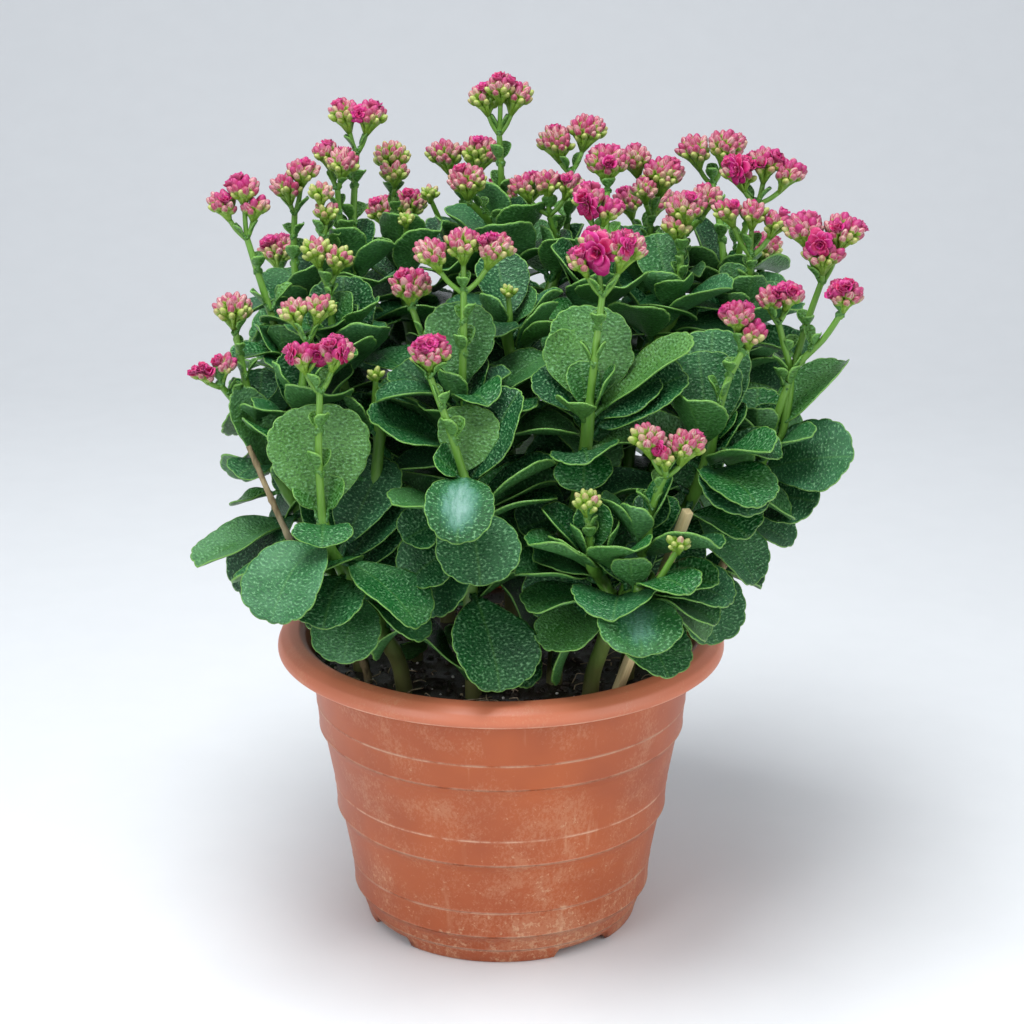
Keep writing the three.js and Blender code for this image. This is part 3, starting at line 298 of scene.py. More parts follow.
# %% [markdown]
# ## The pot
# The real pot is injection moulded: a thin tapering wall with three slightly raised belts, a rolled
# flange with a bead under its edge, and a foot ring cut away between four feet. A spin of one outline
# gives all of it, so the outline is drawn as a few points, its corners are rounded with a bevel, and the
# spin closes on itself. The foot's notches are then pushed up into the ring.

# %% The pot's outline
FOOT_HEIGHT = 5
FLOOR_TOP = 7.5
FOOT_INNER_RADIUS = 67
INNER_FLOOR_RADIUS = 73.2
WALL = 2
POT_WALL = [(74, 0), (77.6, 14), (81, 18.3), (82.3, 33), (87.2, 59.5), (89.8, 64), (90.9, 78.6),
            (96, 106.5), (98.6, 111), (99.8, 125), (103.5, 150)]
POT_FLANGE = [(109, 158.6), (117.6, 153.6), (RIM_RADIUS, 154.6), (RIM_RADIUS, 157.2), (118.4, 161),
              (114, 164), (108.5, RIM_TOP), (105.2, 162.5)]
MOULD_LINES = [8, 18.3, 33, 64, 78.6, 111, 125]
FLANGE_EDGE = 154.4
LINE_WIDTH, LINE_HEIGHT = 0.8, 0.35


def wall_radius(height):
    """The radius of the pot's outer wall at a height."""
    return float(np.interp(height, [z for _, z in POT_WALL], [r for r, _ in POT_WALL]))


def pot_outline():
    """Points [radius, height] from the middle of the foot's underside round to the middle of the floor."""
    heights = {z for _, z in POT_WALL}
    for line in MOULD_LINES:
        heights |= {line - LINE_WIDTH, line, line + LINE_WIDTH}
    wall = []
    for z in sorted(heights):
        raised = LINE_HEIGHT if z in MOULD_LINES else 0
        wall.append((wall_radius(z) + raised, z))
    under = [(0, FOOT_HEIGHT), (FOOT_INNER_RADIUS - 1, FOOT_HEIGHT), (FOOT_INNER_RADIUS, 0)]
    inside = [(POT_WALL[-1][0] - WALL, POT_WALL[-1][1]), (INNER_FLOOR_RADIUS, FLOOR_TOP), (0, FLOOR_TOP)]
    return under + wall + POT_FLANGE + inside


# %% Spin the pot
POT_STEPS = 160
ROUNDING = 0.9
NOTCH_HALF_WIDTH = 16
NOTCH_HEIGHT = 4.4
NOTCH_TURN = 37


def spun(outline, steps, rounding=0.0):
    """A closed shape of revolution round the plant's Z axis."""
    shape = bmesh.new()
    verts = [shape.verts.new((radius, 0, height)) for radius, height in outline]
    for pair in zip(verts, verts[1:]):
        shape.edges.new(pair)
    if rounding:
        corners = [vert for vert in verts[1:-1] if vert.co.x > FOOT_INNER_RADIUS - 2]
        bmesh.ops.bevel(shape, geom=corners, affect="VERTICES", offset=rounding, segments=2,
                        profile=0.5, material=-1)
    bmesh.ops.spin(shape, geom=shape.verts[:] + shape.edges[:], cent=(0, 0, 0), axis=(0, 0, 1),
                   angle=math.tau, steps=steps, use_merge=True)
    bmesh.ops.remove_doubles(shape, verts=shape.verts, dist=1e-4)
    bmesh.ops.recalc_face_normals(shape, faces=shape.faces)
    return shape


def cut_notches(shape):
    """Pushes the foot ring up between the four feet."""
    for vert in shape.verts:
        radius = math.hypot(vert.co.x, vert.co.y)
        if vert.co.z > NOTCH_HEIGHT or radius < FOOT_INNER_RADIUS - 0.5:
            continue
        turn = math.degrees(math.atan2(vert.co.y, vert.co.x)) - NOTCH_TURN
        offset = (turn + 45) % 90 - 45
        if abs(radius * math.sin(math.radians(offset))) < NOTCH_HALF_WIDTH:
            vert.co.z = NOTCH_HEIGHT


# %% [markdown]
# ## The pot's finish
# The plastic is a matt orange with a pinker, dusty rim, and that rim band is also painted brighter, as
# painted light on the pot's top. The wall is painted darker towards the foot, as painted shade. Years of
# hard water left lime on it: thin broken lines where the mould steps, clouds of small flecks, and faint
# runs down the wall that thicken towards the foot. Noise on the object's own coordinates makes the clouds
# and flecks, the same noise squeezed along Z makes the runs, and a ramp over the height draws the lines.

# %% Terracotta-coloured plastic
PLASTIC = (0.445, 0.096, 0.020)
PLASTIC_DEEP = (0.35, 0.070, 0.016)
RIM_DUST_AND_LIGHT = (0.62, 0.19, 0.10)
LIME = (0.66, 0.39, 0.23)
LIME_LINE = (0.72, 0.47, 0.33)


def terracotta_look():
    """Matt plastic with lime on it: clouds, flecks, runs and lines along the mould steps."""
    look = new_look("terracotta_plastic", Roughness=0.5)
    place = body_place(look)
    height = shader_node(look, "SeparateXYZ", {0: place}, 2)
    upward = between(look, height, 0.0, RIM_TOP * MILLIMETRE)
    cloud = speckle(look, place, 14.0, 3.0, 0.6)
    fleck = speckle(look, place, 330.0, 5.0, 0.72)
    haze = speckle(look, stretched(look, place, (1, 1, 0.7)), 700.0, 4.0, 0.75)
    patch = speckle(look, place, 34.0, 3.0, 0.6)
    runs = speckle(look, stretched(look, place, (1, 1, 0.1)), 120.0, 3.0, 0.6)
    grain = speckle(look, place, 900.0, 2.0)
    lower = between(look, upward, 0.75, 0.0, 0.11)
    threshold = minus(look, 0.66, lower)
    cloudy = plus(look, times(look, fleck, 0.78), times(look, patch, 0.24))
    flecks = between(look, minus(look, cloudy, threshold), -0.01, 0.04)
    haze_share = plus(look, times(look, patch, 0.5), times(look, haze, 0.5))
    haze_share = plus(look, haze_share, times(look, lower, 0.6))
    haze_share = between(look, haze_share, 0.53, 0.62, 0.22)
    run_share = between(look, minus(look, plus(look, runs, lower), 0.66), 0.0, 0.14, 0.45)
    run_share = times(look, run_share, between(look, cloud, 0.4, 0.62))
    line_height = shader_node(look, "ValToRGB", {0: upward})
    stops = line_height.node.color_ramp.elements
    stops[0].color, stops[1].color = (0, 0, 0, 1), (0, 0, 0, 1)
    for line in [*MOULD_LINES, FLANGE_EDGE]:
        for offset, bright in ((-0.7, 0), (0.1, 1), (0.8, 0)):
            stops.new((line + offset) / RIM_TOP).color = (bright, bright, bright, 1)
    broken = between(look, speckle(look, place, 70.0, 4.0, 0.7), 0.36, 0.56)
    line_share = times(look, line_height, broken)
    shade = blend(look, between(look, cloud, 0.35, 0.65), PLASTIC_DEEP, PLASTIC)
    # Painted shade: the wall is painted darker towards the foot.
    shade = blend(look, between(look, upward, 0.5, 0.0, 0.6), shade, PLASTIC_DEEP)
    # The rim band: a pinker, dusty rim, painted brighter too as painted light on the pot's top.
    shade = blend(look, between(look, upward, 0.9, 0.955, 0.85), shade, RIM_DUST_AND_LIGHT)
    shade = blend(look, haze_share, shade, LIME)
    shade = blend(look, times(look, flecks, 0.5), shade, LIME)
    shade = blend(look, run_share, shade, LIME)
    shade = blend(look, times(look, line_share, 0.8), shade, LIME_LINE)
    chalk = maths(look, "MAXIMUM", flecks, line_share)
    roughness = between(look, chalk, 0.0, 1.0, 0.3)
    roughness = plus(look, roughness, 0.42)
    relief = plus(look, times(look, chalk, 0.6), times(look, grain, 0.25))
    return finish_look(look, shade, roughness, relief, 0.12)


# %% Build the pot
terracotta = terracotta_look()
pot_shape = spun(pot_outline(), POT_STEPS, ROUNDING)
cut_notches(pot_shape)
finish_piece(pot_shape, "pot_shell", [terracotta], "pot")

# %% [markdown]
# ## Small shapes that are bent again and again
# A plant is a few small shapes repeated with endless variation: a tube, a leaf, a bud, a petal. Each is
# modelled once here and kept as a template. For every copy the template's points are moved by a formula,
# and the copy is added to the piece that is growing. This costs far less work than modelling each leaf,
# and keeps every leaf's faces evenly laid out, so that a colour can follow its edge or its rib.

# %% Templates
LAYERS = ("tone", "wax", "margin", "rib")
UV_PER_MILLIMETRE = 0.01


def scatter(first, second):
    """A number from -1 to 1 that looks random but is the same on every run."""
    wave = math.sin(first * 12.9898 + second * 78.233) * 43758.5453
    return 2 * (wave - math.floor(wave)) - 1


def with_layers(shape):
    """Gives a bmesh the flat map and the painted numbers that all pieces share."""
    shape.loops.layers.uv.new("UVMap")
    for name in LAYERS:
        shape.verts.layers.float.new(name)
    return shape


# %% A mesh that is copied many times
class Template:
    """A small mesh whose points are moved for each copy."""

    def __init__(self, shape, name):
        with_layers(shape)
        self.mesh = bpy.data.meshes.new(name)
        shape.to_mesh(self.mesh)
        shape.free()
        points = np.empty(len(self.mesh.vertices) * 3)
        self.mesh.vertices.foreach_get("co", points)
        self.points = points.reshape(-1, 3)
        self.corners = np.empty(len(self.mesh.loops), dtype=np.int32)
        self.mesh.loops.foreach_get("vertex_index", self.corners)
        print(name, "template has", len(self.mesh.polygons), "faces")

    def add_to(self, piece, places, flat, material=None, **numbers):
        """Adds a copy with its points at places. flat is its map in millimetres."""
        self.mesh.vertices.foreach_set("co", places.ravel())
        spread = (flat[self.corners] * UV_PER_MILLIMETRE).astype(np.float32)
        self.mesh.uv_layers["UVMap"].data.foreach_set("uv", spread.ravel())
        for layer in LAYERS:
            values = np.broadcast_to(numbers.get(layer, 0.0), len(self.points)).astype(np.float32)
            self.mesh.attributes[layer].data.foreach_set("value", values)
        if material is not None:
            self.mesh.polygons.foreach_set("material_index", np.full(len(self.mesh.polygons), material))
        piece.from_mesh(self.mesh)


# %% A curve through a few points
class Curve:
    """A smooth curve that passes through its points, walked at even speed."""
    STEPS = 200

    def __init__(self, points):
        self.points = [np.array(point, dtype=float) for point in points]
        self.samples = np.array([self.at(step / self.STEPS) for step in range(self.STEPS + 1)])
        lengths = np.linalg.norm(np.diff(self.samples, axis=0), axis=1)
        self.travelled = np.concatenate([[0], np.cumsum(lengths)])
        self.length = self.travelled[-1]

    def at(self, share):
        """Centripetal Catmull-Rom: each stretch leans towards the points on either side of it."""
        last = len(self.points) - 1
        index = min(int(share * last), last - 1)
        t = share * last - index
        start, end = self.points[index], self.points[index + 1]
        before = self.points[index - 1] if index else 2 * start - end
        after = self.points[index + 2] if index + 2 <= last else 2 * end - start
        around = (before, start, end, after)
        gap_in, gap, gap_out = [math.sqrt(np.linalg.norm(b - a)) or 1 for a, b in zip(around, around[1:])]
        lean_in = (start - before) / gap_in - (end - before) / (gap_in + gap) + (end - start) / gap
        lean_out = (end - start) / gap - (after - start) / (gap + gap_out) + (after - end) / gap_out
        lean_in, lean_out = lean_in * gap, lean_out * gap
        bend = 3 * (end - start) - 2 * lean_in - lean_out
        return start + lean_in * t + bend * t ** 2 + (2 * (start - end) + lean_in + lean_out) * t ** 3

    def along(self, share):
        """The points at these shares of the length."""
        goal = np.asarray(share) * self.length
        steps = np.interp(goal, self.travelled, np.arange(self.STEPS + 1))
        columns = [np.interp(steps, np.arange(self.STEPS + 1), self.samples[:, axis]) for axis in range(3)]
        return np.stack(columns, axis=-1)

    def point(self, share):
        """The exact point at one share of the length."""
        steps = np.interp(share * self.length, self.travelled, np.arange(self.STEPS + 1))
        return self.at(float(steps) / self.STEPS)


# %% Tubes along a path
tube_templates = {}


def tube_template(sides, rings):
    """A closed tube: a disc whose rim is drawn out ring by ring. Point = (cos, sin, ring)."""
    if (sides, rings) not in tube_templates:
        tube = bmesh.new()
        bmesh.ops.create_circle(tube, cap_ends=True, segments=sides, radius=1)
        bmesh.ops.reverse_faces(tube, faces=tube.faces)
        edges = tube.edges[:]
        for _ in range(1, rings):
            pulled = bmesh.ops.extrude_edge_only(tube, edges=edges)["geom"]
            verts = [part for part in pulled if isinstance(part, bmesh.types.BMVert)]
            bmesh.ops.translate(tube, verts=verts, vec=(0, 0, 1))
            edges = [part for part in pulled if isinstance(part, bmesh.types.BMEdge)
                     and all(vert in verts for vert in part.verts)]
        bmesh.ops.edgeloop_fill(tube, edges=edges)
        bmesh.ops.recalc_face_normals(tube, faces=tube.faces)
        tube_templates[sides, rings] = Template(tube, f"tube_{sides}_{rings}")
    return tube_templates[sides, rings]


def frames_along(points):
    """Two directions across the path at each point, that turn with it but never twist."""
    tangents = np.gradient(points, axis=0)
    tangents /= np.linalg.norm(tangents, axis=1)[:, None]
    across = np.cross(tangents[0], (0.3, 1.0, 0.1))
    sides = []
    for tangent in tangents:
        across = across - tangent * np.dot(across, tangent)
        across /= np.linalg.norm(across)
        sides.append(across.copy())
    sides = np.array(sides)
    return sides, np.cross(tangents, sides)


def add_tube(piece, points, radii, sides=8, bumps=None, material=0, **numbers):
    """A tube along points. radii has a radius for each, and bumps a factor for each point of the tube."""
    template = tube_template(sides, len(points))
    points = np.asarray(points, dtype=float)
    ring = np.rint(template.points[:, 2]).astype(int)
    first, second = frames_along(points)
    radius = np.asarray(radii, dtype=float)[ring]
    if bumps is not None:
        radius = radius * bumps(template.points)
    offset = first[ring] * template.points[:, :1] + second[ring] * template.points[:, 1:2]
    places = points[ring] + offset * radius[:, None]
    travelled = np.concatenate([[0], np.cumsum(np.linalg.norm(np.diff(points, axis=0), axis=1))])
    turn = np.abs(np.arctan2(template.points[:, 1], template.points[:, 0]))
    flat = np.stack([turn * radius, travelled[ring]], axis=1)
    template.add_to(piece, places, flat, material, **numbers)


# %% [markdown]
# ## The soil
# Moist peat is a heap of dark crumbs with pale fibres and a few grains of white grit. A spun disc with
# noise on its top carries the overall shape. Crumbs are small spheres, each squeezed and dented, and
# fibres are thin bent tubes that lie on the top. The stems hide most of it, but its broken edge shows
# between the lowest leaves in front.

# %% The soil's body
SOIL_TOP = 149
SOIL_SIDE_GAP = 0.4
SOIL_RINGS = 48
SOIL_STEPS = 128
SOIL_EDGE_RADIUS = 101.5
SOIL_EDGE_FALL = 14
CLODS = dict(scale=0.06, height=2.2)
FINE_CRUMBS = dict(scale=0.35, height=0.9)


def soil_height(x, y):
    """The height of the soil's top, with clods and fine crumbs."""
    clods = noise.noise(Vector((x, y, 3)) * CLODS["scale"]) * CLODS["height"]
    crumbs = noise.noise(Vector((x, y, 9)) * FINE_CRUMBS["scale"]) * FINE_CRUMBS["height"]
    edge = min(1, (SOIL_EDGE_RADIUS - math.hypot(x, y)) / SOIL_EDGE_FALL)
    return SOIL_TOP - 1.2 + (clods + 1.0) * edge + crumbs * edge


def soil_outline():
    """Points [radius, height] from under the soil, up its side and along its top to the middle."""
    side = [(wall_radius(z) - WALL - SOIL_SIDE_GAP, z) for z in (12, 60, 110, SOIL_TOP - 2)]
    side.insert(0, (INNER_FLOOR_RADIUS - 1, FLOOR_TOP + SOIL_SIDE_GAP))
    top = [(side[-1][0] * ring / SOIL_RINGS, SOIL_TOP) for ring in range(SOIL_RINGS, -1, -1)]
    return [(0, FLOOR_TOP + SOIL_SIDE_GAP)] + side + top


# %% Crumbs and grit
DENTS = 0.28
SQUEEZE = 0.35
LUMP_HEIGHT = 0.75


def lump_template():
    """A sphere of twenty triangles, which is enough for a crumb."""
    lump = bmesh.new()
    bmesh.ops.create_icosphere(lump, subdivisions=1, radius=1)
    return Template(lump, "lump")


def add_lump(piece, template, place, size, seed, material):
    """A squeezed, dented sphere."""
    points = template.points.copy()
    dents = np.array([scatter(seed, index) for index in range(len(points))])
    points *= size * (1 + DENTS * dents[:, None])
    points *= [1 + SQUEEZE * scatter(seed, 71), 1 + SQUEEZE * scatter(seed, 72), LUMP_HEIGHT]
    template.add_to(piece, points + place, points[:, :2], material)


def spot_on_soil(seed, reach=100.0):
    """A point on the soil's top, evenly spread."""
    radius = reach * math.sqrt(0.5 + 0.5 * scatter(seed, 61))
    turn = math.pi * scatter(seed, 62)
    x, y = radius * math.cos(turn), radius * math.sin(turn)
    return np.array([x, y, soil_height(x, y)])


# %% Fibres
FIBRES_WITHIN = 98
FIBRE_STATIONS = 7
FIBRE_RADIUS = 0.32


def add_fibre(piece, seed):
    """A thin root or straw that lies on the soil."""
    start = spot_on_soil(seed, 94)
    length = 9 + 8 * scatter(seed, 63)
    turn = math.pi * scatter(seed, 64)
    path = []
    for share in (0, 0.3, 0.65, 1):
        turn += 0.5 * scatter(seed, 65 + 10 * share)
        x = start[0] + length * share * math.cos(turn)
        y = start[1] + length * share * math.sin(turn)
        lift = 1.1 + 1.2 * math.sin(math.pi * share) * (1 + scatter(seed, 66))
        path.append((x, y, soil_height(x, y) + lift))
    if max(math.hypot(x, y) for x, y, _ in path) < FIBRES_WITHIN:
        points = Curve(path).along(np.linspace(0, 1, FIBRE_STATIONS))
        radii = np.full(FIBRE_STATIONS, FIBRE_RADIUS + 0.14 * scatter(seed, 67))
        add_tube(piece, points, radii, 4, material=1)


# %% Soil colours
PEAT_DARK = (0.012, 0.0085, 0.006)
PEAT_PALE = (0.040, 0.027, 0.018)
PEAT_GRAIN = (0.10, 0.067, 0.043)


def soil_look():
    """Dark peat with lighter clods and small pale grains."""
    look = new_look("peat", Roughness=0.95)
    place = body_place(look)
    clods = speckle(look, place, 90.0, 4.0, 0.6)
    grains = speckle(look, place, 900.0, 3.0, 0.65)
    shade = blend(look, between(look, clods, 0.3, 0.7), PEAT_DARK, PEAT_PALE)
    shade = blend(look, between(look, grains, 0.58, 0.72, 0.7), shade, PEAT_GRAIN)
    return finish_look(look, shade, between(look, clods, 0.0, 1.0, 0.95), grains, 0.5)


def fibre_look(name, dark, pale):
    """A mottled colour for straws and grit."""
    look = new_look(name, Roughness=0.85)
    place = body_place(look)
    mottle = speckle(look, place, 400.0, 3.0)
    return finish_look(look, blend(look, between(look, mottle, 0.3, 0.7), dark, pale), None, mottle, 0.1)


peat = soil_look()
straw = fibre_look("straw_fibre", (0.22, 0.15, 0.09), (0.55, 0.45, 0.32))
grit = fibre_look("white_grit", (0.45, 0.42, 0.38), (0.8, 0.78, 0.74))

# %% Build the soil
CRUMBS = 900
CRUMB_SIZE = 1.3
GRIT = 70
GRIT_SIZE = 0.8
GRIT_LIFT = [0, 0, 0.6]
FIBRES = 110
soil_shape = with_layers(spun(soil_outline(), SOIL_STEPS))
for vert in soil_shape.verts:
    if vert.co.z > SOIL_TOP - 0.5:
        vert.co.z = soil_height(vert.co.x, vert.co.y)
lump = lump_template()
for seed in range(CRUMBS):
    add_lump(soil_shape, lump, spot_on_soil(seed), CRUMB_SIZE + 0.9 * scatter(seed, 70), seed, 0)
for seed in range(GRIT):
    spot = spot_on_soil(seed + 0.5) + GRIT_LIFT
    add_lump(soil_shape, lump, spot, GRIT_SIZE + 0.3 * scatter(seed, 73), seed, 2)
for seed in range(FIBRES):
    add_fibre(soil_shape, seed)
finish_piece(soil_shape, "soil_heap", [peat, straw, grit], "soil")

# %% [markdown]
# ## The stake and the two dead stems
# A square stick of pale wood leans in the front of the pot, and two stems of earlier years stand bare.
# The stick is a four-sided tube with its long edges bevelled. The dead stems are tubes whose radius is
# roughened point by point, with the swollen rings where leaves once sat.

# %% Wood and bark colours
WOOD_DARK = (0.62, 0.46, 0.22)
WOOD_PALE = (0.86, 0.72, 0.42)
WOOD_RING = (0.48, 0.33, 0.14)
BARK_DARK = (0.095, 0.068, 0.032)
BARK_PALE = (0.35, 0.265, 0.14)
BARK_PATCH = (0.42, 0.36, 0.24)


def wood_look():
    """Straight grain: noise that is squeezed along the stick."""
    look = new_look("pale_wood_grain", Roughness=0.65)
    flat = flat_map(look)
    fibres = speckle(look, stretched(look, flat, (40, 1.2, 1)), 6.0, 5.0, 0.6)
    rings = speckle(look, stretched(look, flat, (14, 0.35, 1)), 3.0, 2.0)
    shade = blend(look, between(look, fibres, 0.3, 0.7), WOOD_DARK, WOOD_PALE)
    shade = blend(look, between(look, rings, 0.5, 0.75, 0.4), shade, WOOD_RING)
    return finish_look(look, shade, between(look, fibres, 0.0, 1.0, 0.8), fibres, 0.15)


def bark_look():
    """Dry bark: streaks along the stem and grey patches."""
    look = new_look("dry_bark", Roughness=0.85)
    place = body_place(look)
    streaks = speckle(look, stretched(look, place, (1, 1, 0.12)), 420.0, 4.0, 0.6)
    patches = speckle(look, place, 60.0, 3.0)
    shade = blend(look, between(look, streaks, 0.3, 0.7), BARK_DARK, BARK_PALE)
    shade = blend(look, between(look, patches, 0.5, 0.7, 0.6), shade, BARK_PATCH)
    return finish_look(look, shade, None, streaks, 0.4)


# %% Build the stake
STAKE_FOOT = np.array([54, -60, 132.0])
STAKE_TOP = np.array([92, -100, 262.0])
STAKE_SIDE = 4.5
STAKE_STATIONS = 24
STAKE_BEVEL = 0.35
stake_shape = with_layers(bmesh.new())
stake_points = STAKE_FOOT + (STAKE_TOP - STAKE_FOOT) * np.linspace(0, 1, STAKE_STATIONS)[:, None]
add_tube(stake_shape, stake_points, np.full(STAKE_STATIONS, STAKE_SIDE / math.sqrt(2)), 4)
long_edges = [edge for edge in stake_shape.edges
              if len(edge.link_faces) == 2 and edge.calc_face_angle(0) > 1]
bmesh.ops.bevel(stake_shape, geom=long_edges, affect="EDGES", offset=STAKE_BEVEL, segments=2,
                profile=0.5, material=-1)
finish_piece(stake_shape, "wooden_stake", [wood_look()], "stake")

# %% Build the dead stems
RODS = dict(
    dry_stalk=dict(foot=[-70, -46], via=[-104, -82, 239], tip=[-125, -73, 287], radii=[2.2, 1.4]),
    woody_stem=dict(foot=[83, -36], via=[108, -46, 200], tip=[125, -46, 240], radii=[2.8, 2.2]),
)
BURIED_TO = 132
ROD_UPRIGHT = 6
ROD_RINGS = 90
ROD_SIDES = 10
ROD_ROUGHNESS = 0.10
SCARS = 9
SCAR_SWELLING = 0.22
SCAR_WIDTH = 0.09


def rough_bark(template_points):
    """A factor for the radius at each point of the tube."""
    return np.array([1 + ROD_ROUGHNESS * scatter(3 * x + y, z) for x, y, z in template_points])


bark = bark_look()
for rod_name, rod in RODS.items():
    foot = np.array([*rod["foot"], BURIED_TO])
    above_soil = np.array([*rod["foot"], SOIL_TOP + ROD_UPRIGHT])
    rod_points = Curve([foot, above_soil, rod["via"], rod["tip"]]).along(np.linspace(0, 1, ROD_RINGS))
    shares = np.linspace(0, 1, ROD_RINGS)
    thickness = rod["radii"][0] + (rod["radii"][1] - rod["radii"][0]) * shares
    thickness = thickness * (1 + SCAR_SWELLING * np.exp(-((shares * SCARS % 1 - 0.5) / SCAR_WIDTH) ** 2))
    rod_shape = with_layers(bmesh.new())
    add_tube(rod_shape, rod_points, thickness, ROD_SIDES, rough_bark)
    finish_piece(rod_shape, rod_name + "_bark", [bark], rod_name)

# %% [markdown]
# ## The plan of the plant
# A kalanchoe grows in shoots. A shoot rises from the soil, or forks off another, and carries crossed
# pairs of leaves that are small at its top. Its top goes on as a flower stalk, and more stalks leave it
# sideways. The tables below hold the same plan as the CAD part, in millimetres: where each shoot stands
# and ends, the large leaves that show singly, and the stalks, lobes and open flowers of each head.

# %% Shoots
# A row of own is one large leaf: how far below the shoot's top, azimuth, rise, droop, length and width.
STEMS = [
  [dict(foot=[-50, -60], apex=[-87, -100, 256], turn=0, own=[
      [10, 95, 80, 6, 58, 50], [14, -125, 2, 80, 68, 46], [22, 178, 8, 30, 58, 38],
      [26, -40, -5, 45, 62, 44], [46, -85, -15, 50, 60, 44], [50, -165, -12, 45, 56, 42]]),
   dict(fork=0.5, apex=[-60, -62, 298], turn=20)],
  [dict(foot=[-14, -64], apex=[-17, -95, 276], turn=10, own=[
      [14, -92, -5, 75, 56, 40], [34, -74, -12, 58, 66, 50], [24, 172, 30, 25, 58, 42],
      [36, 192, 5, 34, 60, 44], [20, 5, 38, 14, 52, 38], [66, -100, -20, 50, 60, 46]])],
  [dict(foot=[-12, -38], apex=[-19, -62, 311], turn=60, own=[
      [16, 22, 35, 12, 58, 44], [30, -8, 18, 42, 60, 46], [22, 160, 30, 20, 54, 42],
      [34, -150, 10, 40, 56, 42]])],
  [dict(foot=[28, -46], apex=[44, -75, 308], turn=85, own=[
      [9, 176, 32, -14, 44, 42], [9, -4, 30, -6, 50, 42], [14, 92, 62, 8, 54, 50],
      [24, 14, 12, 24, 60, 42], [40, 190, 8, 24, 54, 42], [58, 196, -2, 28, 52, 40],
      [48, -60, -10, 50, 58, 44], [22, -92, 0, 52, 34, 32]])],
  [dict(foot=[46, -70], apex=[72, -104, 253], turn=60, own=[
      [30, -8, 5, 40, 56, 42], [52, -40, -20, 45, 58, 42]]),
   dict(fork=0.5, apex=[44, -112, 243], turn=10, own=[
      [12, 200, 12, 22, 46, 36], [24, 188, -5, 28, 52, 40], [38, 206, -15, 38, 54, 42],
      [50, 228, -28, 50, 50, 42]]),
   dict(fork=0.5, apex=[68, -122, 231], turn=80, own=[
      [8, -86, 6, 56, 46, 42], [22, -104, -25, 58, 54, 42], [12, -12, 12, 36, 44, 36]])],
  [dict(foot=[66, -38], apex=[106, -65, 290], turn=30, own=[
      [18, -64, 12, 56, 50, 40], [46, -30, -8, 45, 58, 44], [68, -55, -25, 44, 58, 44],
      [36, -100, -5, 50, 54, 42]])],
  [dict(foot=[76, -12], apex=[138, -32, 280], turn=70, own=[
      [24, -20, 4, 22, 66, 44], [42, -44, -12, 34, 56, 44], [16, 28, 25, 30, 58, 42]])],
  [dict(foot=[-74, -28], apex=[-127, -36, 298], turn=75, own=[
      [30, -140, -2, 48, 60, 44], [52, 175, -10, 40, 58, 44]]),
   dict(fork=0.5, apex=[-99, -57, 312], turn=20)],
  [dict(foot=[-46, -10], apex=[-86, -15, 329], turn=10),
   dict(fork=0.5, apex=[-113, -1, 316], turn=60)],
  [dict(foot=[-60, 30], apex=[-109, 44, 335], turn=70),
   dict(fork=0.5, apex=[-80, 62, 347], turn=20)],
  [dict(foot=[-30, 46], apex=[-54, 82, 347], turn=45),
   dict(fork=0.5, apex=[-20, 108, 345], turn=0)],
  [dict(foot=[6, 54], apex=[2, 86, 357], turn=70),
   dict(fork=0.5, apex=[32, 78, 352], turn=30)],
  [dict(foot=[32, 8], apex=[52, 18, 350], turn=15),
   dict(fork=0.25, apex=[2, -12, 336], turn=50),
   dict(fork=0.5, apex=[93, 16, 340], turn=60)],
  [dict(foot=[62, 38], apex=[80, 60, 348], turn=45),
   dict(fork=0.5, apex=[122, 72, 338], turn=0),
   dict(fork=0.25, apex=[130, 22, 332], turn=60)],
  [dict(foot=[-26, 76], apex=[-58, 126, 300], turn=30),
   dict(fork=0.25, apex=[-112, 94, 290], turn=80),
   dict(fork=0.25, apex=[10, 138, 302], turn=60)],
  [dict(foot=[46, 66], apex=[74, 124, 303], turn=20),
   dict(fork=0.25, apex=[132, 94, 284], turn=70)],
]

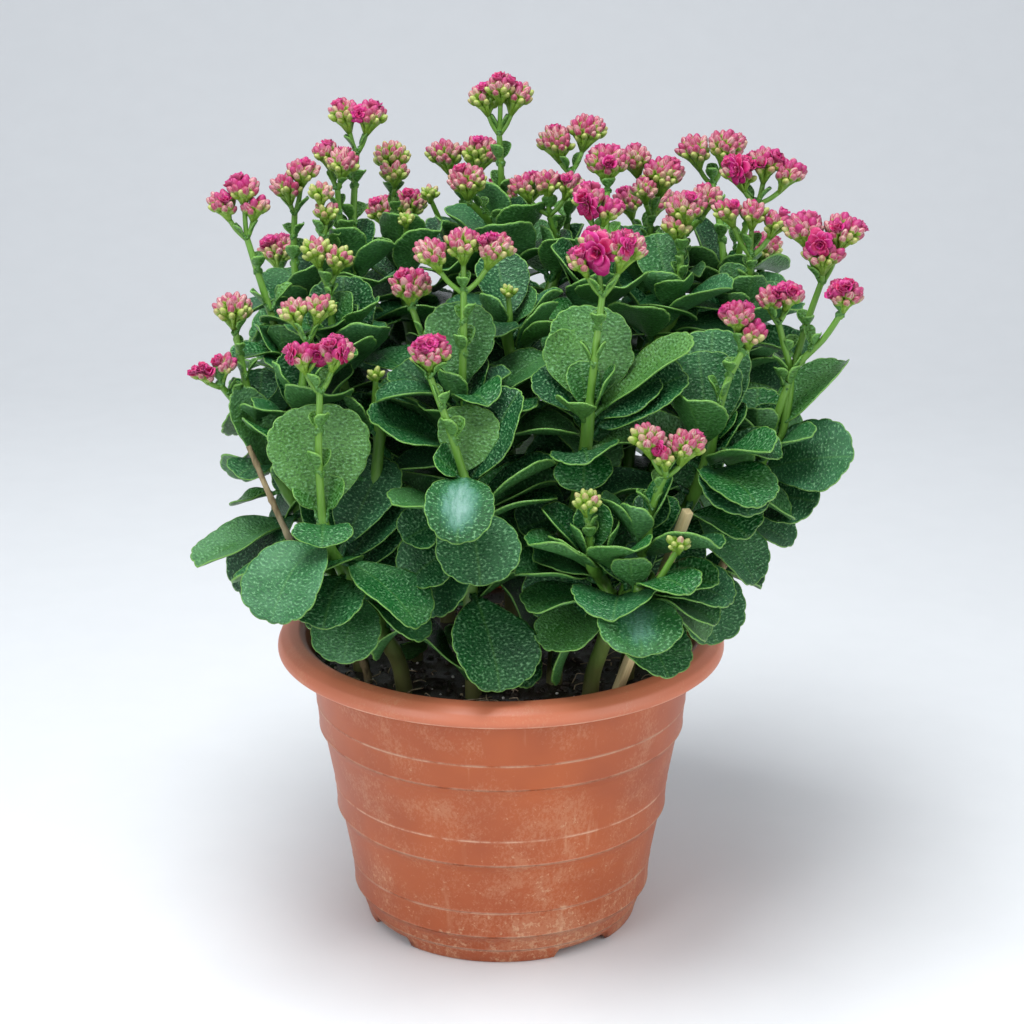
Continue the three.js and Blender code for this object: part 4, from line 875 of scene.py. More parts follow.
# %% Heads
# stem is a stem and the shoot on it. The stalk runs through the points of via to the fork. A lobe is
# x, y, z and radius. A bloom is the azimuth and rise at which an open flower faces, and its radius.
HEAD_KEYS = ["stem", "via", "fork", "lobes", "blooms"]
HEADS = [dict(zip(HEAD_KEYS, row)) for row in [
  [[0, 0], [[-88, -101, 290]], [-87, -97, 322],
   [[-96, -95, 339, 8.5], [-79, -94, 341, 9.5]], [[-92, -14, 6.5], [-160, 4, 5.5], [-25, 8, 5.5]]],
  [[1, 0], [[-25, -98, 305]], [-34, -91, 328], [[-34, -88, 339, 10.5]], [[-85, 45, 4.5]]],
  [[2, 0], [[-18, -61, 345]], [-18, -57, 362],
   [[-34, -56, 381, 9.5], [-18, -53, 385, 10], [-2, -55, 383, 10]], []],
  [[2, 0], [[-38, -46, 334]], [-44, -41, 349], [[-45, -40, 361, 11]], []],
  [[3, 0], [[47, -77, 340]], [50, -72, 364],
   [[47, -66, 388, 9.5], [61, -70, 386, 11], [40, -69, 380, 8]], [[-118, 2, 10.5], [-40, 15, 5]]],
  [[4, 0], [[76, -107, 272]], [80, -110, 284],
   [[71, -110, 302, 9.5], [90, -110, 299, 10], [80, -114, 294, 7]], [[-130, 5, 4.5]]],
  [[4, 1], [], [43, -114, 262], [[42, -115, 272, 7.8]], []],
  [[5, 0], [[113, -64, 318]], [120, -61, 332], [[117, -60, 351, 9], [124, -61, 342, 9]], []],
  [[6, 0], [[148, -29, 311], [157, -22, 340]], [163, -20, 358],
   [[153, -19, 385, 10.5], [173, -20, 384, 11], [163, -24, 374, 11]], [[-105, -8, 7.5]]],
  [[6, 0], [[148, -29, 311], [164, -33, 332]], [171, -35, 344], [[173, -35, 355, 9.5]], []],
  [[6, 0], [[148, -29, 311], [143, -33, 330]], [140, -35, 341],
   [[136, -35, 353, 8.5], [145, -35, 355, 8.5]], []],
  [[7, 0], [[-131, -34, 318]], [-134, -31, 334], [[-135, -30, 346, 10.5]], []],
  [[7, 0], [[-137, -42, 304]], [-141, -46, 311], [[-149, -49, 318, 6.8], [-138, -46, 322, 7]], []],
  [[7, 1], [], [-96, -53, 336], [[-102, -50, 350, 8.8], [-90, -50, 352, 8.8]], []],
  [[8, 1], [[-124, 4, 352]], [-131, 8, 375],
   [[-143, 10, 392, 8.5], [-132, 10, 400, 9], [-126, 9, 391, 8]], []],
  [[8, 0], [], [-88, -11, 354], [[-94, -10, 372, 8.8], [-83, -10, 368, 8.4]], []],
  [[9, 0], [[-110, 45, 360]], [-109, 45, 380], [[-112, 45, 394, 9.5], [-104, 45, 402, 9]], []],
  [[9, 1], [[-79, 66, 380]], [-77, 69, 408], [[-82, 70, 428, 10], [-70, 70, 427, 10]], [[-80, 15, 5]]],
  [[9, 1], [[-86, 58, 370]], [-87, 57, 391], [[-93, 61, 409, 8], [-84, 54, 405, 9.5]], []],
  [[9, 1], [[-91, 43, 362]], [-93, 31, 370], [[-94, 30, 394, 7.4], [-91, 29, 384, 7]], []],
  [[10, 0], [[-58, 88, 368]], [-59, 92, 380], [[-60, 98, 400, 10.5], [-58, 88, 393, 8.5]], []],
  [[10, 1], [[-21, 116, 365]], [-21, 122, 381], [[-32, 125, 396, 10.5], [-11, 125, 397, 12]], []],
  [[11, 0], [[-9, 72, 372]], [-17, 62, 382], [[-18, 60, 394, 11]], []],
  [[11, 0], [[0, 88, 390]], [-1, 86, 415], [[-9, 86, 434, 9.5], [8, 86, 435, 10], [0, 82, 440, 9]], []],
  [[11, 1], [], [26, 72, 374], [[12, 70, 389, 8.5], [25, 69, 391, 9], [37, 70, 390, 8.3]], []],
  [[11, 1], [[37, 92, 375]], [38, 101, 391], [[30, 104, 407, 11], [47, 105, 413, 11]], []],
  [[12, 0], [[55, 32, 372]], [56, 42, 392], [[56, 45, 407, 11.5]], []],
  [[12, 0], [[50, 6, 368]], [48, -3, 381], [[45, -4, 398, 8.8], [54, -4, 392, 8.5]], [[-135, -8, 7]]],
  [[13, 0], [], [80, 61, 376], [[71, 69, 404, 9.5], [86, 61, 397, 12], [76, 50, 391, 7.6]], []],
  [[12, 2], [], [94, 18, 364], [[96, 20, 388, 11], [91, 17, 379, 8.5]], []],
  [[13, 1], [[119, 82, 365]], [115, 89, 387], [[105, 90, 405, 10.5], [122, 90, 407, 11]], []],
  [[13, 1], [[130, 60, 365]], [136, 52, 384],
   [[126, 50, 401, 10.5], [140, 52, 405, 10.5], [152, 50, 400, 10]], [[-150, 4, 8]]],
  [[13, 0], [[94, 50, 362]], [105, 42, 377], [[108, 40, 389, 9]], []],
  [[13, 2], [], [130, 16, 364], [[117, 15, 387, 8.3], [130, 15, 386, 8.6], [143, 15, 381, 8.3]], []],
  [[14, 0], [[-60, 133, 325]], [-60, 138, 345],
   [[-68, 140, 362, 10], [-52, 140, 365, 10.5]], [[90, 12, 7]]],
  [[14, 2], [[11, 144, 330]], [10, 149, 352], [[0, 150, 370, 10], [17, 150, 373, 10.5]], []],
  [[15, 0], [[77, 131, 330]], [79, 136, 350], [[72, 138, 367, 10], [88, 138, 368, 10.5]], []],
  [[15, 1], [[139, 99, 312]], [144, 102, 334], [[145, 102, 348, 11]], []],
  [[14, 1], [[-119, 99, 315]], [-123, 102, 333], [[-124, 102, 347, 11]], []],
]]

# %% Small green heads
# Each row: the stem and the shoot on it, then x, y, z and radius.
GREEN_BUDS = [
  [0, 1, -62, -58, 320, 5], [4, 2, 86, -126, 255, 6.5], [10, 0, -51, 66, 372, 5.5],
  [10, 1, -39, 96, 380, 6], [12, 1, 4, -16, 352, 5],
]

# %% Paths of the shoots
STEM_RADIUS = 4.4
APEX_RADIUS = 2.8
SIDE_SHOOT_SHARE = 0.8
COLLAR_HEIGHT = 3
COLLAR_UPRIGHT = 6
STEM_ARCH = 0.04
STEM_UPTURN = 0.14
CAD_RINGS = (4, 3)
UP = np.array([0, 0, 1.0])


def shoot_curve(shoot, parent):
    """A shoot rises straight from the soil, or leaves its parent at the fork, and turns up at its top."""
    apex = np.array(shoot["apex"], dtype=float)
    if parent:
        start = parent.point(shoot["fork"])
        points = [start]
    else:
        start = np.array([*shoot["foot"], SOIL_TOP + COLLAR_HEIGHT], dtype=float)
        points = [start, start + UP * COLLAR_UPRIGHT]
    reach = np.linalg.norm(apex - start)
    middle = start + 0.5 * (apex - start) + UP * STEM_ARCH * reach
    below = start + 0.9 * (apex - start)
    below[2] = apex[2] - STEM_UPTURN * reach
    return Curve(points + [middle, below, apex])


def point_below(stations, distance):
    """The point this far below the top, on the straight runs between the CAD's cross sections."""
    for upper, lower in zip(stations[::-1], stations[-2::-1]):
        run = np.linalg.norm(upper - lower)
        if distance <= run:
            return upper + (lower - upper) * distance / run
        distance -= run
    return stations[0].copy()


# %% Every shoot with its curve
shoots = []
for stem, stem_shoots in enumerate(STEMS):
    main_curve = None
    for order, shoot in enumerate(stem_shoots):
        curve = shoot_curve(shoot, main_curve if order else None)
        main_curve = main_curve or curve
        rings = CAD_RINGS[1 if order else 0]
        stations = [curve.point(ring / rings) for ring in range(rings + 1)]
        shoots.append(dict(plan=shoot, stem=stem, order=order, curve=curve, stations=stations))
print("shoots", len(shoots))

# %% [markdown]
# ## The leaf
# A kalanchoe leaf is a thick spoon: a short stalk that widens into a round blade with blunt teeth. It is
# modelled flat as a grid that is pressed into a disc, so that its rows end on the outline, and given
# thickness. The few rim faces at its foot are drawn out into the stalk. A formula then bends this flat
# leaf along an arc, cups it and waves its edge. Points near the edge know how far in they are, and
# that number later paints the pale line round every leaf.

# %% Leaf template
LEAF_GRID = 24
SMALL_LEAF_GRID = 10
STALK_RINGS = 5
STALK_FACES_WIDE = 4.1


def leaf_template(grid, name):
    """Points come out as (across, along, side): the blade is a disc, and its stalk runs to along = -2."""
    leaf = bmesh.new()
    bmesh.ops.create_grid(leaf, x_segments=grid, y_segments=grid, size=1)
    bmesh.ops.solidify(leaf, geom=leaf.faces[:], thickness=0.1)
    stalk_half = STALK_FACES_WIDE / grid
    foot = [face for face in leaf.faces
            if all(vert.co.y < -0.99 for vert in face.verts)
            and all(abs(vert.co.x) < stalk_half for vert in face.verts)]
    for vert in leaf.verts:
        x, y = vert.co.x, vert.co.y
        vert.co.x = x * math.sqrt(1 - y * y / 2)
        vert.co.y = y * math.sqrt(1 - x * x / 2)
        vert.co.z = 1 if vert.co.z > -0.05 else -1
    for _ in range(STALK_RINGS):
        pulled = bmesh.ops.extrude_face_region(leaf, geom=foot)["geom"]
        bmesh.ops.delete(leaf, geom=foot, context="FACES_ONLY")
        foot = [part for part in pulled if isinstance(part, bmesh.types.BMFace)]
        verts = [part for part in pulled if isinstance(part, bmesh.types.BMVert)]
        bmesh.ops.translate(leaf, verts=verts, vec=(0, -1 / STALK_RINGS, 0))
    bmesh.ops.recalc_face_normals(leaf, faces=leaf.faces)
    for face in leaf.faces:
        face.material_index = 1 if all(vert.co.z < 0 for vert in face.verts) else 0
    return Template(leaf, name)


large_leaf = leaf_template(LEAF_GRID, "leaf")
small_leaf = leaf_template(SMALL_LEAF_GRID, "small_leaf")

# %% The arc and the teeth of a leaf
UPWARD_CUP = 0.22
HALF_THICKNESS = 0.85
BLADE_START_SHARE = 0.15
BLADE_START_LENGTH = 7.5
STALK_WIDTH = 1.1
STALK_WIDTH_SHARE = 0.024
TOOTH_DEPTH = 0.045
TOOTH_TURN = math.radians(23)
TOOTHED_TO = math.radians(125)
TOOTH_LEAF_LENGTH = 55
BLADE_FULL = 0.97
BLADE_WIDEST_ABOVE = 0.25
FOOT_NARROWING = 0.3
GROOVE_WIDTH = 1.3
GROOVE_ABOVE, GROOVE_UNDER = -0.3, -0.35
LARGE_LEAF_FROM = 24


def leaf_arc(leaf, s, twist=0.0):
    """The middle line of a leaf at each share s of its length, and the directions across and off it."""
    azimuth, rise, droop = (math.radians(leaf[key]) for key in ("azimuth", "rise", "droop"))
    slope = rise - droop * s
    out = leaf["length"] * (math.sin(rise) - np.sin(slope)) / droop
    up = leaf["length"] * (np.cos(slope) - math.cos(rise)) / droop
    ahead = np.array([math.cos(azimuth), math.sin(azimuth), 0])
    across = np.array([math.sin(azimuth), -math.cos(azimuth), 0])
    normal = np.cos(slope)[:, None] * UP - np.sin(slope)[:, None] * ahead
    roll = (math.radians(leaf["roll"]) + twist * s)[:, None]
    centre = leaf["base"] + out[:, None] * ahead + up[:, None] * UP
    sideways = across * np.cos(roll) + normal * np.sin(roll)
    facing = normal * np.cos(roll) - across * np.sin(roll)
    return centre, sideways, facing


def smooth(value):
    """Eases from 0 to 1 without a corner at either end."""
    value = np.clip(value, 0, 1)
    return value * value * (3 - 2 * value)


def tooth_factor(u, v, leaf, seed):
    """Blunt teeth: the outline is drawn in a little between rounded lobes."""
    turn = np.arctan2(np.abs(u), v)
    uneven = turn + 0.07 * np.sin(2.3 * turn + seed + np.sign(u))
    size = TOOTH_TURN * max(0.8, min(1.6, TOOTH_LEAF_LENGTH / leaf["length"]))
    notch = (1 - np.abs(np.cos(math.pi * uneven / size))) ** 1.6
    fade = 1 - smooth((turn - TOOTHED_TO + 0.5) / 0.7)
    r = np.clip(np.hypot(u, v), 0, 1)
    return 1 - TOOTH_DEPTH * notch * fade * r ** 6


# %% Where every point of a leaf goes
def bend_leaf(leaf, points, seed):
    """Returns where the points of a flat leaf go, its flat map and its painted numbers."""
    u, v, side = points.T
    length, half_width = leaf["length"], leaf["width"] / 2 * leaf.get("slim", 1)
    start = min(0.3, max(BLADE_START_SHARE, BLADE_START_LENGTH / length))
    tooth = tooth_factor(u, v, leaf, seed)
    r = np.clip(np.hypot(u, v), 0, 1)
    down_stalk = np.clip(-1 - v, 0, 1)
    v_toothed = np.where(v > -1, v * tooth, v)
    s = np.where(v > -1, start + (1 - start) * (1 + v_toothed) / 2, start * (2 + v))
    narrowing = 1 - FOOT_NARROWING * np.clip((-v - 0.2) / 0.8, 0, 1) ** 2
    spoon = BLADE_FULL + BLADE_WIDEST_ABOVE * np.clip(v, -1, 1)
    across = u * tooth * half_width * spoon * narrowing
    stalk_across = u * LEAF_GRID / 4 * (STALK_WIDTH + STALK_WIDTH_SHARE * length)
    across += (stalk_across - across) * smooth(3 * down_stalk)
    at_foot = np.clip((-v - 0.55) / 0.45, 0, 1) ** 2 * np.exp(-(u / 0.3) ** 2)
    thinning = 1 - 0.6 * r ** 7 * (1 - at_foot) + 0.5 * at_foot
    thick = HALF_THICKNESS * min(1, 0.45 + length / 80) * thinning
    depth = np.where(side > 0, GROOVE_ABOVE, GROOVE_UNDER)
    groove = np.exp(-(across / GROOVE_WIDTH) ** 2) * (1 - 0.7 * s) * depth
    edge = np.sqrt(np.clip(1 - v * v, 0.02, 1))
    cup = UPWARD_CUP + leaf.get("cup", 0)
    lift = cup * np.abs(across) * np.abs(u) / edge * (1 - smooth(3 * down_stalk))
    lift += leaf.get("fold", 0) * np.abs(across) * smooth(1 - down_stalk)
    turn = np.arctan2(u, v)
    waves = np.sin(3 * turn + seed * 1.7) + 0.6 * np.sin(5 * turn + seed * 2.9)
    lift += leaf.get("wave", 0.04) * half_width * r ** 3 * waves * (v > -1)
    lift += side * thick + groove
    centre, sideways, facing = leaf_arc(leaf, s, leaf.get("twist", 0))
    places = centre + across[:, None] * sideways + lift[:, None] * facing
    offset = np.array([137 * scatter(seed, 31), 211 * scatter(seed, 32)])
    flat = np.stack([across, s * length], axis=1) + offset
    margin = (1 - r) * half_width * 0.9 + 6 * at_foot + 6 * (down_stalk > 0)
    return places, flat, dict(margin=margin, rib=np.abs(across))


def add_leaf(piece, leaf, seed):
    """Adds a leaf. Bracts are short, so a template with fewer faces does for them."""
    template = large_leaf if leaf["length"] > LARGE_LEAF_FROM else small_leaf
    places, flat, numbers = bend_leaf(leaf, template.points, seed)
    template.add_to(piece, places, flat, tone=leaf["tone"], wax=leaf["wax"], **numbers)


# %% [markdown]
# ## Which leaf goes where
# The CAD part holds a leaf of every pair that found room. Each leaf there was tried in a fixed list of
# shifted positions, so the same list is tried here, and the position whose tip is a corner of the CAD
# mesh is the one that was taken. In this way each fine leaf lies exactly on its coarse one.

# %% The rule for the pairs
LEAF_LENGTH = 60
PLANT_MIDDLE = np.array([10, 10])
WIDTH_SHARE = 0.8
PAIR_DISTANCE = [9, 19, 34, 53, 73, 93]
PAIR_LENGTH = [0.46, 0.78, 1, 1.02, 1, 0.95]
PAIR_RISE = [46, 42, 24, 6, -6, -16]
PAIR_DROOP = [-26, 30, 60, 66, 62, 60]
PAIR_STRAY = dict(azimuth=9, length=0.08, rise=6, droop=6, roll=9, width=0.06)
LOWEST_PAIR = 12
SHIFTS = [
  [0, 0, 1], [11, 0, 1], [-11, 0, 1], [0, 11, 1], [0, -11, 1], [20, 8, 0.95], [-20, 8, 0.95],
  [20, -12, 0.95], [-20, -12, 0.95], [0, 22, 0.92], [0, -22, 0.92], [32, 4, 0.9], [-32, 4, 0.9],
  [15, 30, 0.88], [-15, 30, 0.88], [15, -30, 0.85], [-15, -30, 0.85], [0, 40, 0.8], [44, 14, 0.8],
  [-44, 14, 0.8], [0, 0, 0.72], [25, 45, 0.7], [-25, 45, 0.7], [0, 55, 0.62],
]


def single_leaves(shoot):
    """The large leaves that the plan names one by one."""
    for distance, azimuth, rise, droop, length, width in shoot["plan"].get("own", []):
        yield dict(pair=-1, azimuth=azimuth, rise=rise, droop=droop, roll=0, length=length, width=width,
                   base=point_below(shoot["stations"], distance))


def paired_leaves(shoot):
    """Both leaves of every pair that the shoot is long enough for."""
    plan = shoot["plan"]
    reach = np.linalg.norm(np.array(plan["apex"]) - shoot["stations"][0])
    outward = np.array(plan["apex"][:2]) - PLANT_MIDDLE
    outward = outward / np.linalg.norm(outward)
    for pair in range(len(PAIR_DISTANCE)):
        if PAIR_DISTANCE[pair] > reach - LOWEST_PAIR:
            break
        for half in (0, 1):
            seed = 100 * shoot["stem"] + 10 * shoot["order"] + 2 * pair + half
            azimuth = plan["turn"] + 90 * pair + 180 * half + PAIR_STRAY["azimuth"] * scatter(seed, 11)
            way = math.radians(azimuth)
            length = LEAF_LENGTH * PAIR_LENGTH[pair] * (1 + PAIR_STRAY["length"] * scatter(seed, 12))
            yield dict(
                pair=pair, azimuth=azimuth, length=length,
                rise=PAIR_RISE[pair] + PAIR_STRAY["rise"] * scatter(seed, 13),
                droop=PAIR_DROOP[pair] + PAIR_STRAY["droop"] * scatter(seed, 14),
                roll=PAIR_STRAY["roll"] * scatter(seed, 15),
                width=length * WIDTH_SHARE * (1 + PAIR_STRAY["width"] * scatter(seed, 16)),
                base=point_below(shoot["stations"], PAIR_DISTANCE[pair]),
                facing=math.cos(way) * outward[0] + math.sin(way) * outward[1])


def shifted(leaf, shift):
    """The leaf turned, lifted and scaled by one row of SHIFTS."""
    turn, lift, scale = shift
    return dict(leaf, azimuth=leaf["azimuth"] + turn, rise=leaf["rise"] + lift,
                length=leaf["length"] * scale, width=leaf["width"] * scale)


# %% Find each leaf in the CAD part
TIP_TOLERANCE = 0.2


def placed_in_cad(leaf, corners):
    """The shifted leaf whose tip is a corner of the CAD mesh, or nothing."""
    for shift in SHIFTS:
        trial = shifted(leaf, shift)
        tip = leaf_arc(trial, np.array([1.0]))[0][0]
        if np.min(np.sum((corners - tip) ** 2, axis=1)) < TIP_TOLERANCE ** 2:
            return trial
    return None


leaves = []
spare_leaves = []
for stem in range(len(STEMS)):
    corners = cad_points(f"leafy_stem_{stem + 1:02}")
    for shoot in (shoot for shoot in shoots if shoot["stem"] == stem):
        for leaf in [*single_leaves(shoot), *paired_leaves(shoot)]:
            leaf["stem"] = stem
            leaf["stations"] = shoot["stations"]
            found = placed_in_cad(leaf, corners)
            if found:
                leaves.append(found)
            elif leaf["pair"] >= 0:
                spare_leaves.append(leaf)
print("leaves found in the CAD part", len(leaves), "spare", len(spare_leaves))

# %% [markdown]
# ## Leaves that stand out
# Nearly sixty leaves make the face of this plant, such as the large pale one in front of a flower stalk
# and the ones that hang over the rim. A rule that spreads leaves evenly can't give them, so they are
# listed. The first table turns, raises or resizes leaves of the coarse part. The second adds leaves
# where the coarse part had no room for one.

# %% The leaves that stand out
# wax sets a leaf's bluish bloom, and also how much painted sheen and painted shine it gets.
LEAF_KEYS = ["azimuth", "rise", "droop", "length", "width", "roll", "tone", "wax", "fold"]
# Each row: which of the leaves found above, how far below the shoot's top, then the values of LEAF_KEYS.
TURNED_LEAVES = [
  [0, 2, 108, 77, 6, 60, 52, 0, 0.95, 0.3, 0.0], [1, 12, -123, 9, 80, 60, 44, 0, 0.55, 0.75, 0.0],
  [2, 22, -173, -2, 20, 54, 32, 0, 0.4, 0.3, 0.0], [3, 24, -39, -2, 45, 59, 42, 0, 0.5, 0.2, 0.0],
  [4, 34, -104, 2, 50, 42, 40, 0, 0.35, 0.1, 0.1], [5, 46, -97, -16, 45, 45, 36, 0, 0.6, 0.6, 0.0],
  [9, 34, -164, -21, 40, 29, 27, 0, 0.3, 0.3, 0.0], [13, 0, -94, 24, 90, 54, 34, 0, 0.3, 1.0, 0.0],
  [14, 14, -79, -8, 58, 50, 42, 0, 0.3, 0.15, 0.05], [18, 66, -69, -17, 50, 60, 46, 0, 0.2, 0.0, 0.05],
  [26, 34, -149, 34, 20, 59, 44, 10, 0.3, 0.1, 0.0], [44, 52, -60, -2, 45, 53, 42, 0, 0.5, 0.2, 0.0],
  [43, 30, -30, -7, 50, 50, 42, 0, 0.8, 0.4, 0.0], [48, 12, -156, 37, 22, 41, 36, 0, 0.5, 0.1, 0.1],
  [49, 24, -173, 23, 28, 45, 38, 0, 0.5, 0.1, 0.1], [50, 38, -154, 20, 38, 47, 40, 0, 0.6, 0.2, 0.0],
  [51, 50, -142, 9, 45, 46, 38, 0, 0.8, 0.4, 0.0], [55, 14, -86, 8, 60, 46, 42, 0, 0.55, 0.9, 0.0],
  [61, 46, -35, -13, 45, 53, 42, 0, 0.5, 0.4, 0.0], [68, 24, -18, 26, 22, 56, 44, -35, 0.4, 0.5, 0.0],
  [69, 42, -25, 22, 30, 47, 40, -25, 0.3, 0.3, 0.0], [70, 2, 32, 46, 20, 60, 38, 0, 0.7, 0.1, 0.0],
  [76, 53, -22, 5, 40, 41, 34, 0, 0.4, 0.4, 0.0], [77, 66, -140, -4, 16, 66, 34, 8, 0.75, 0.7, 0.1],
  [78, 50, 177, -10, 15, 31, 24, 0, 0.7, 0.0, 0.0], [81, 19, 100, 33, 25, 46, 34, 0, 0.4, 0.3, 0.0],
  [82, 34, -124, 20, 40, 29, 24, 0, 0.4, 0.2, 0.0], [83, 54, -156, 68, 6, 68, 24, 65, 0.9, 0.75, 0.1],
  [93, 19, 151, 57, 25, 39, 32, 0, 0.5, 0.2, 0.0], [95, 19, 110, 45, 20, 46, 36, 0, 0.5, 0.2, 0.0],
  [40, 9, 116, 79, 10, 31, 18, 0, 0.6, 0.0, 0.0], [41, 9, 14, 68, 10, 32, 20, 0, 0.6, 0.0, 0.0],
  [32, 10, 144, 50, 8, 37, 36, 15, 0.1, 0.1, 0.12], [33, 12, 14, 36, 8, 44, 36, -20, 0.1, 0.1, 0.12],
  [42, 18, 6, 38, 10, 60, 38, -20, 0.2, 0.1, 0.05], [21, 1, -161, 46, 8, 22, 24, 20, 0.4, 0.0, 0.1],
  [6, 0, 23, 68, 6, 24, 20, -20, 0.75, 0.0, 0.1], [7, 0, 160, 64, 6, 24, 20, 20, 0.75, 0.0, 0.1],
  [8, 2, -88, 25, 60, 28, 30, 0, 0.45, 0.1, 0.0], [15, 22, -160, 5, 40, 34, 32, 25, 0.2, 0.1, 0.05],
  [16, 38, -155, -5, 40, 36, 34, 25, 0.2, 0.1, 0.05],
]
# Each row: the stem and the shoot on it, how far below the shoot's top, then the values of LEAF_KEYS.
ADDED_LEAVES = [
  [12, 1, 50, 140, 64, 10, 55, 40, 12, 0.08, 0.1, 0.1], [12, 1, 30, 115, 74, 8, 44, 38, 0, 0.12, 0.1, 0.1],
  [3, 0, 5, 92, 60, 8, 45, 46, 0, 0.85, 0.1, 0.0], [3, 0, 9, 87, 62, 8, 61, 42, 0, 0.75, 0.1, 0.0],
  [3, 0, 10, -118, 43, 10, 27, 22, 0, 0.9, 0.0, 0.1], [3, 0, 7, 12, 40, 8, 66, 30, -8, 0.9, 0.1, 0.0],
  [5, 0, 8, 104, 71, 8, 50, 40, 0, 0.45, 0.1, 0.05], [5, 0, 12, 82, 64, 8, 66, 42, 0, 0.4, 0.1, 0.05],
  [0, 0, 24, 53, 52, 8, 58, 34, -10, 0.15, 0.2, 0.1], [0, 0, 32, 44, 47, 8, 55, 34, -10, 0.2, 0.2, 0.1],
  [0, 0, 42, 45, 49, 8, 47, 32, -10, 0.15, 0.2, 0.1], [0, 0, 52, 40, 53, 8, 37, 28, -10, 0.2, 0.2, 0.1],
  [2, 0, 2, 96, 70, 8, 48, 36, 0, 0.7, 0.2, 0.0], [1, 0, 3, 77, 76, 8, 40, 31, 0, 0.9, 0.2, 0.0],
  [1, 0, 8, 18, 65, 8, 58, 36, -30, 0.1, 0.1, 0.1], [3, 0, 62, -156, 2, 20, 31, 28, 25, 0.2, 0.1, 0.05],
]

# %% Turn and add the listed leaves
for number, distance, *values in TURNED_LEAVES:
    leaf = leaves[number]
    leaf["base"] = point_below(leaf["stations"], distance)
    leaf["stands_out"] = True
    leaf.update(zip(LEAF_KEYS, values))
for stem, order, distance, *values in ADDED_LEAVES:
    stations = next(shoot["stations"] for shoot in shoots
                    if shoot["stem"] == stem and shoot["order"] == order)
    leaves.append(dict(zip(LEAF_KEYS, values), stem=stem, pair=-1, stands_out=True,
                       base=point_below(stations, distance)))
leaves.sort(key=lambda leaf: "stands_out" not in leaf)
print("leaves that stand out", len(TURNED_LEAVES) + len(ADDED_LEAVES))

# %% [markdown]
# ## More leaves
# The coarse part leaves out the leaves that would have crossed others, and those inside the bush. On the
# real plant the crown is closed with foliage, so each pair that is still free is tried here with its fine
# shape against everything placed so far. A search tree of triangles answers quickly whether two shapes
# cross. A leaf that would stand in front of one that stands out is left out too, which a few rays from
# the listed leaves towards the front can tell.

# %% Room for one more leaf
TEST_GRID = 8
CLEAR_FROM = -0.6
test_disc = bmesh.new()
bmesh.ops.create_grid(test_disc, x_segments=TEST_GRID, y_segments=TEST_GRID, size=1)
TEST_POINTS = np.array([(x * math.sqrt(1 - y ** 2 / 2), y * math.sqrt(1 - x ** 2 / 2), 0)
                        for x, y, _ in (vert.co for vert in test_disc.verts)])
TEST_FACES = [tuple(vert.index for vert in face.verts) for face in test_disc.faces
              if min(TEST_POINTS[vert.index][1] for vert in face.verts) > CLEAR_FROM]
test_disc.free()
ROOM_ROUND_A_LEAF = 0.5
occupied = []


def occupy(points, faces):
    """Remembers a shape, so that later leaves keep clear of it."""
    points = np.asarray(points, dtype=float)
    tree = BVHTree.FromPolygons(points.tolist(), faces)
    low, high = points.min(axis=0), points.max(axis=0)
    occupied.append((low - ROOM_ROUND_A_LEAF, high + ROOM_ROUND_A_LEAF, tree))


def is_clear(points, faces, others=occupied):
    """Whether a shape crosses none of the others. Boxes are compared first, because that is quick."""
    low, high = points.min(axis=0), points.max(axis=0)
    tree = BVHTree.FromPolygons(points.tolist(), faces)
    return not any((low < other_high).all() and (high > other_low).all() and tree.overlap(other)
                   for other_low, other_high, other in others)


def test_points(leaf, seed):
    """Where the points of the coarse test disc go on this leaf."""
    return bend_leaf(leaf, TEST_POINTS, seed)[0]


def occupy_node(node):
    """Remembers the shape of a CAD node."""
    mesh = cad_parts[node].data
    occupy(cad_points(node), [tuple(face.vertices) for face in mesh.polygons])


head_nodes = [f"flower_head_{index + 1:02}" for index in range(len(HEADS))]
for node in ["pot", "soil", "stake", *RODS, *head_nodes]:
    occupy_node(node)

# %% Small differences between leaves
# Each row: the middle value, how far it may stray, the lowest that is allowed, and a number for scatter.
LEAF_VARIETY = dict(tone=(0.38, 0.28, 0.0, 41), wax=(0.16, 0.34, 0.0, 42), wave=(0.045, 0.025, 0.0, 44),
                    fold=(0.08, 0.2, -0.08, 45), twist=(0.0, 0.3, -1.0, 46))


def dress_leaf(leaf, seed):
    """Gives a leaf its own small differences in form and colour, unless it already has them."""
    for key, (middle, stray, lowest, salt) in LEAF_VARIETY.items():
        leaf.setdefault(key, max(lowest, middle + stray * scatter(seed, salt)))
    leaf.setdefault("slim", 1 if "stands_out" in leaf else 0.88 + 0.08 * scatter(seed, 47))
    return leaf


# %% Which leaves are in the way
TOWARDS_FRONT = Vector((0, -0.96, 0.28))
SIGHT_POINTS = np.array([(0, -0.3, 1), (0, 0.2, 1), (0, 0.7, 1), (0.5, 0, 1), (-0.5, 0, 1),
                         (0.45, 0.5, 1), (-0.45, 0.5, 1)])
MAY_HIDE = 1
RIM_SHOWS_FROM = 100
RIM_SHOWS_BELOW = 190
BUSH_SIDES = (-138, 168)
# The stem and the pair on it, or the stem, that get no further leaves: their listed leaves are enough.
BARE_PAIRS = [(0, 0), (0, 1), (1, 0), (1, 1), (1, 3), (3, 0), (3, 1)]
BARE_CROWNS = [0, 1, 3]


def hides_nothing(leaf):
    """An added leaf neither covers the pot's rim nor makes the bush wider than it is."""
    tip = leaf_arc(leaf, np.array([1.0]))[0][0]
    over_rim = np.hypot(tip[0], tip[1]) > RIM_SHOWS_FROM and tip[2] < RIM_SHOWS_BELOW
    return not over_rim and BUSH_SIDES[0] < tip[0] < BUSH_SIDES[1]


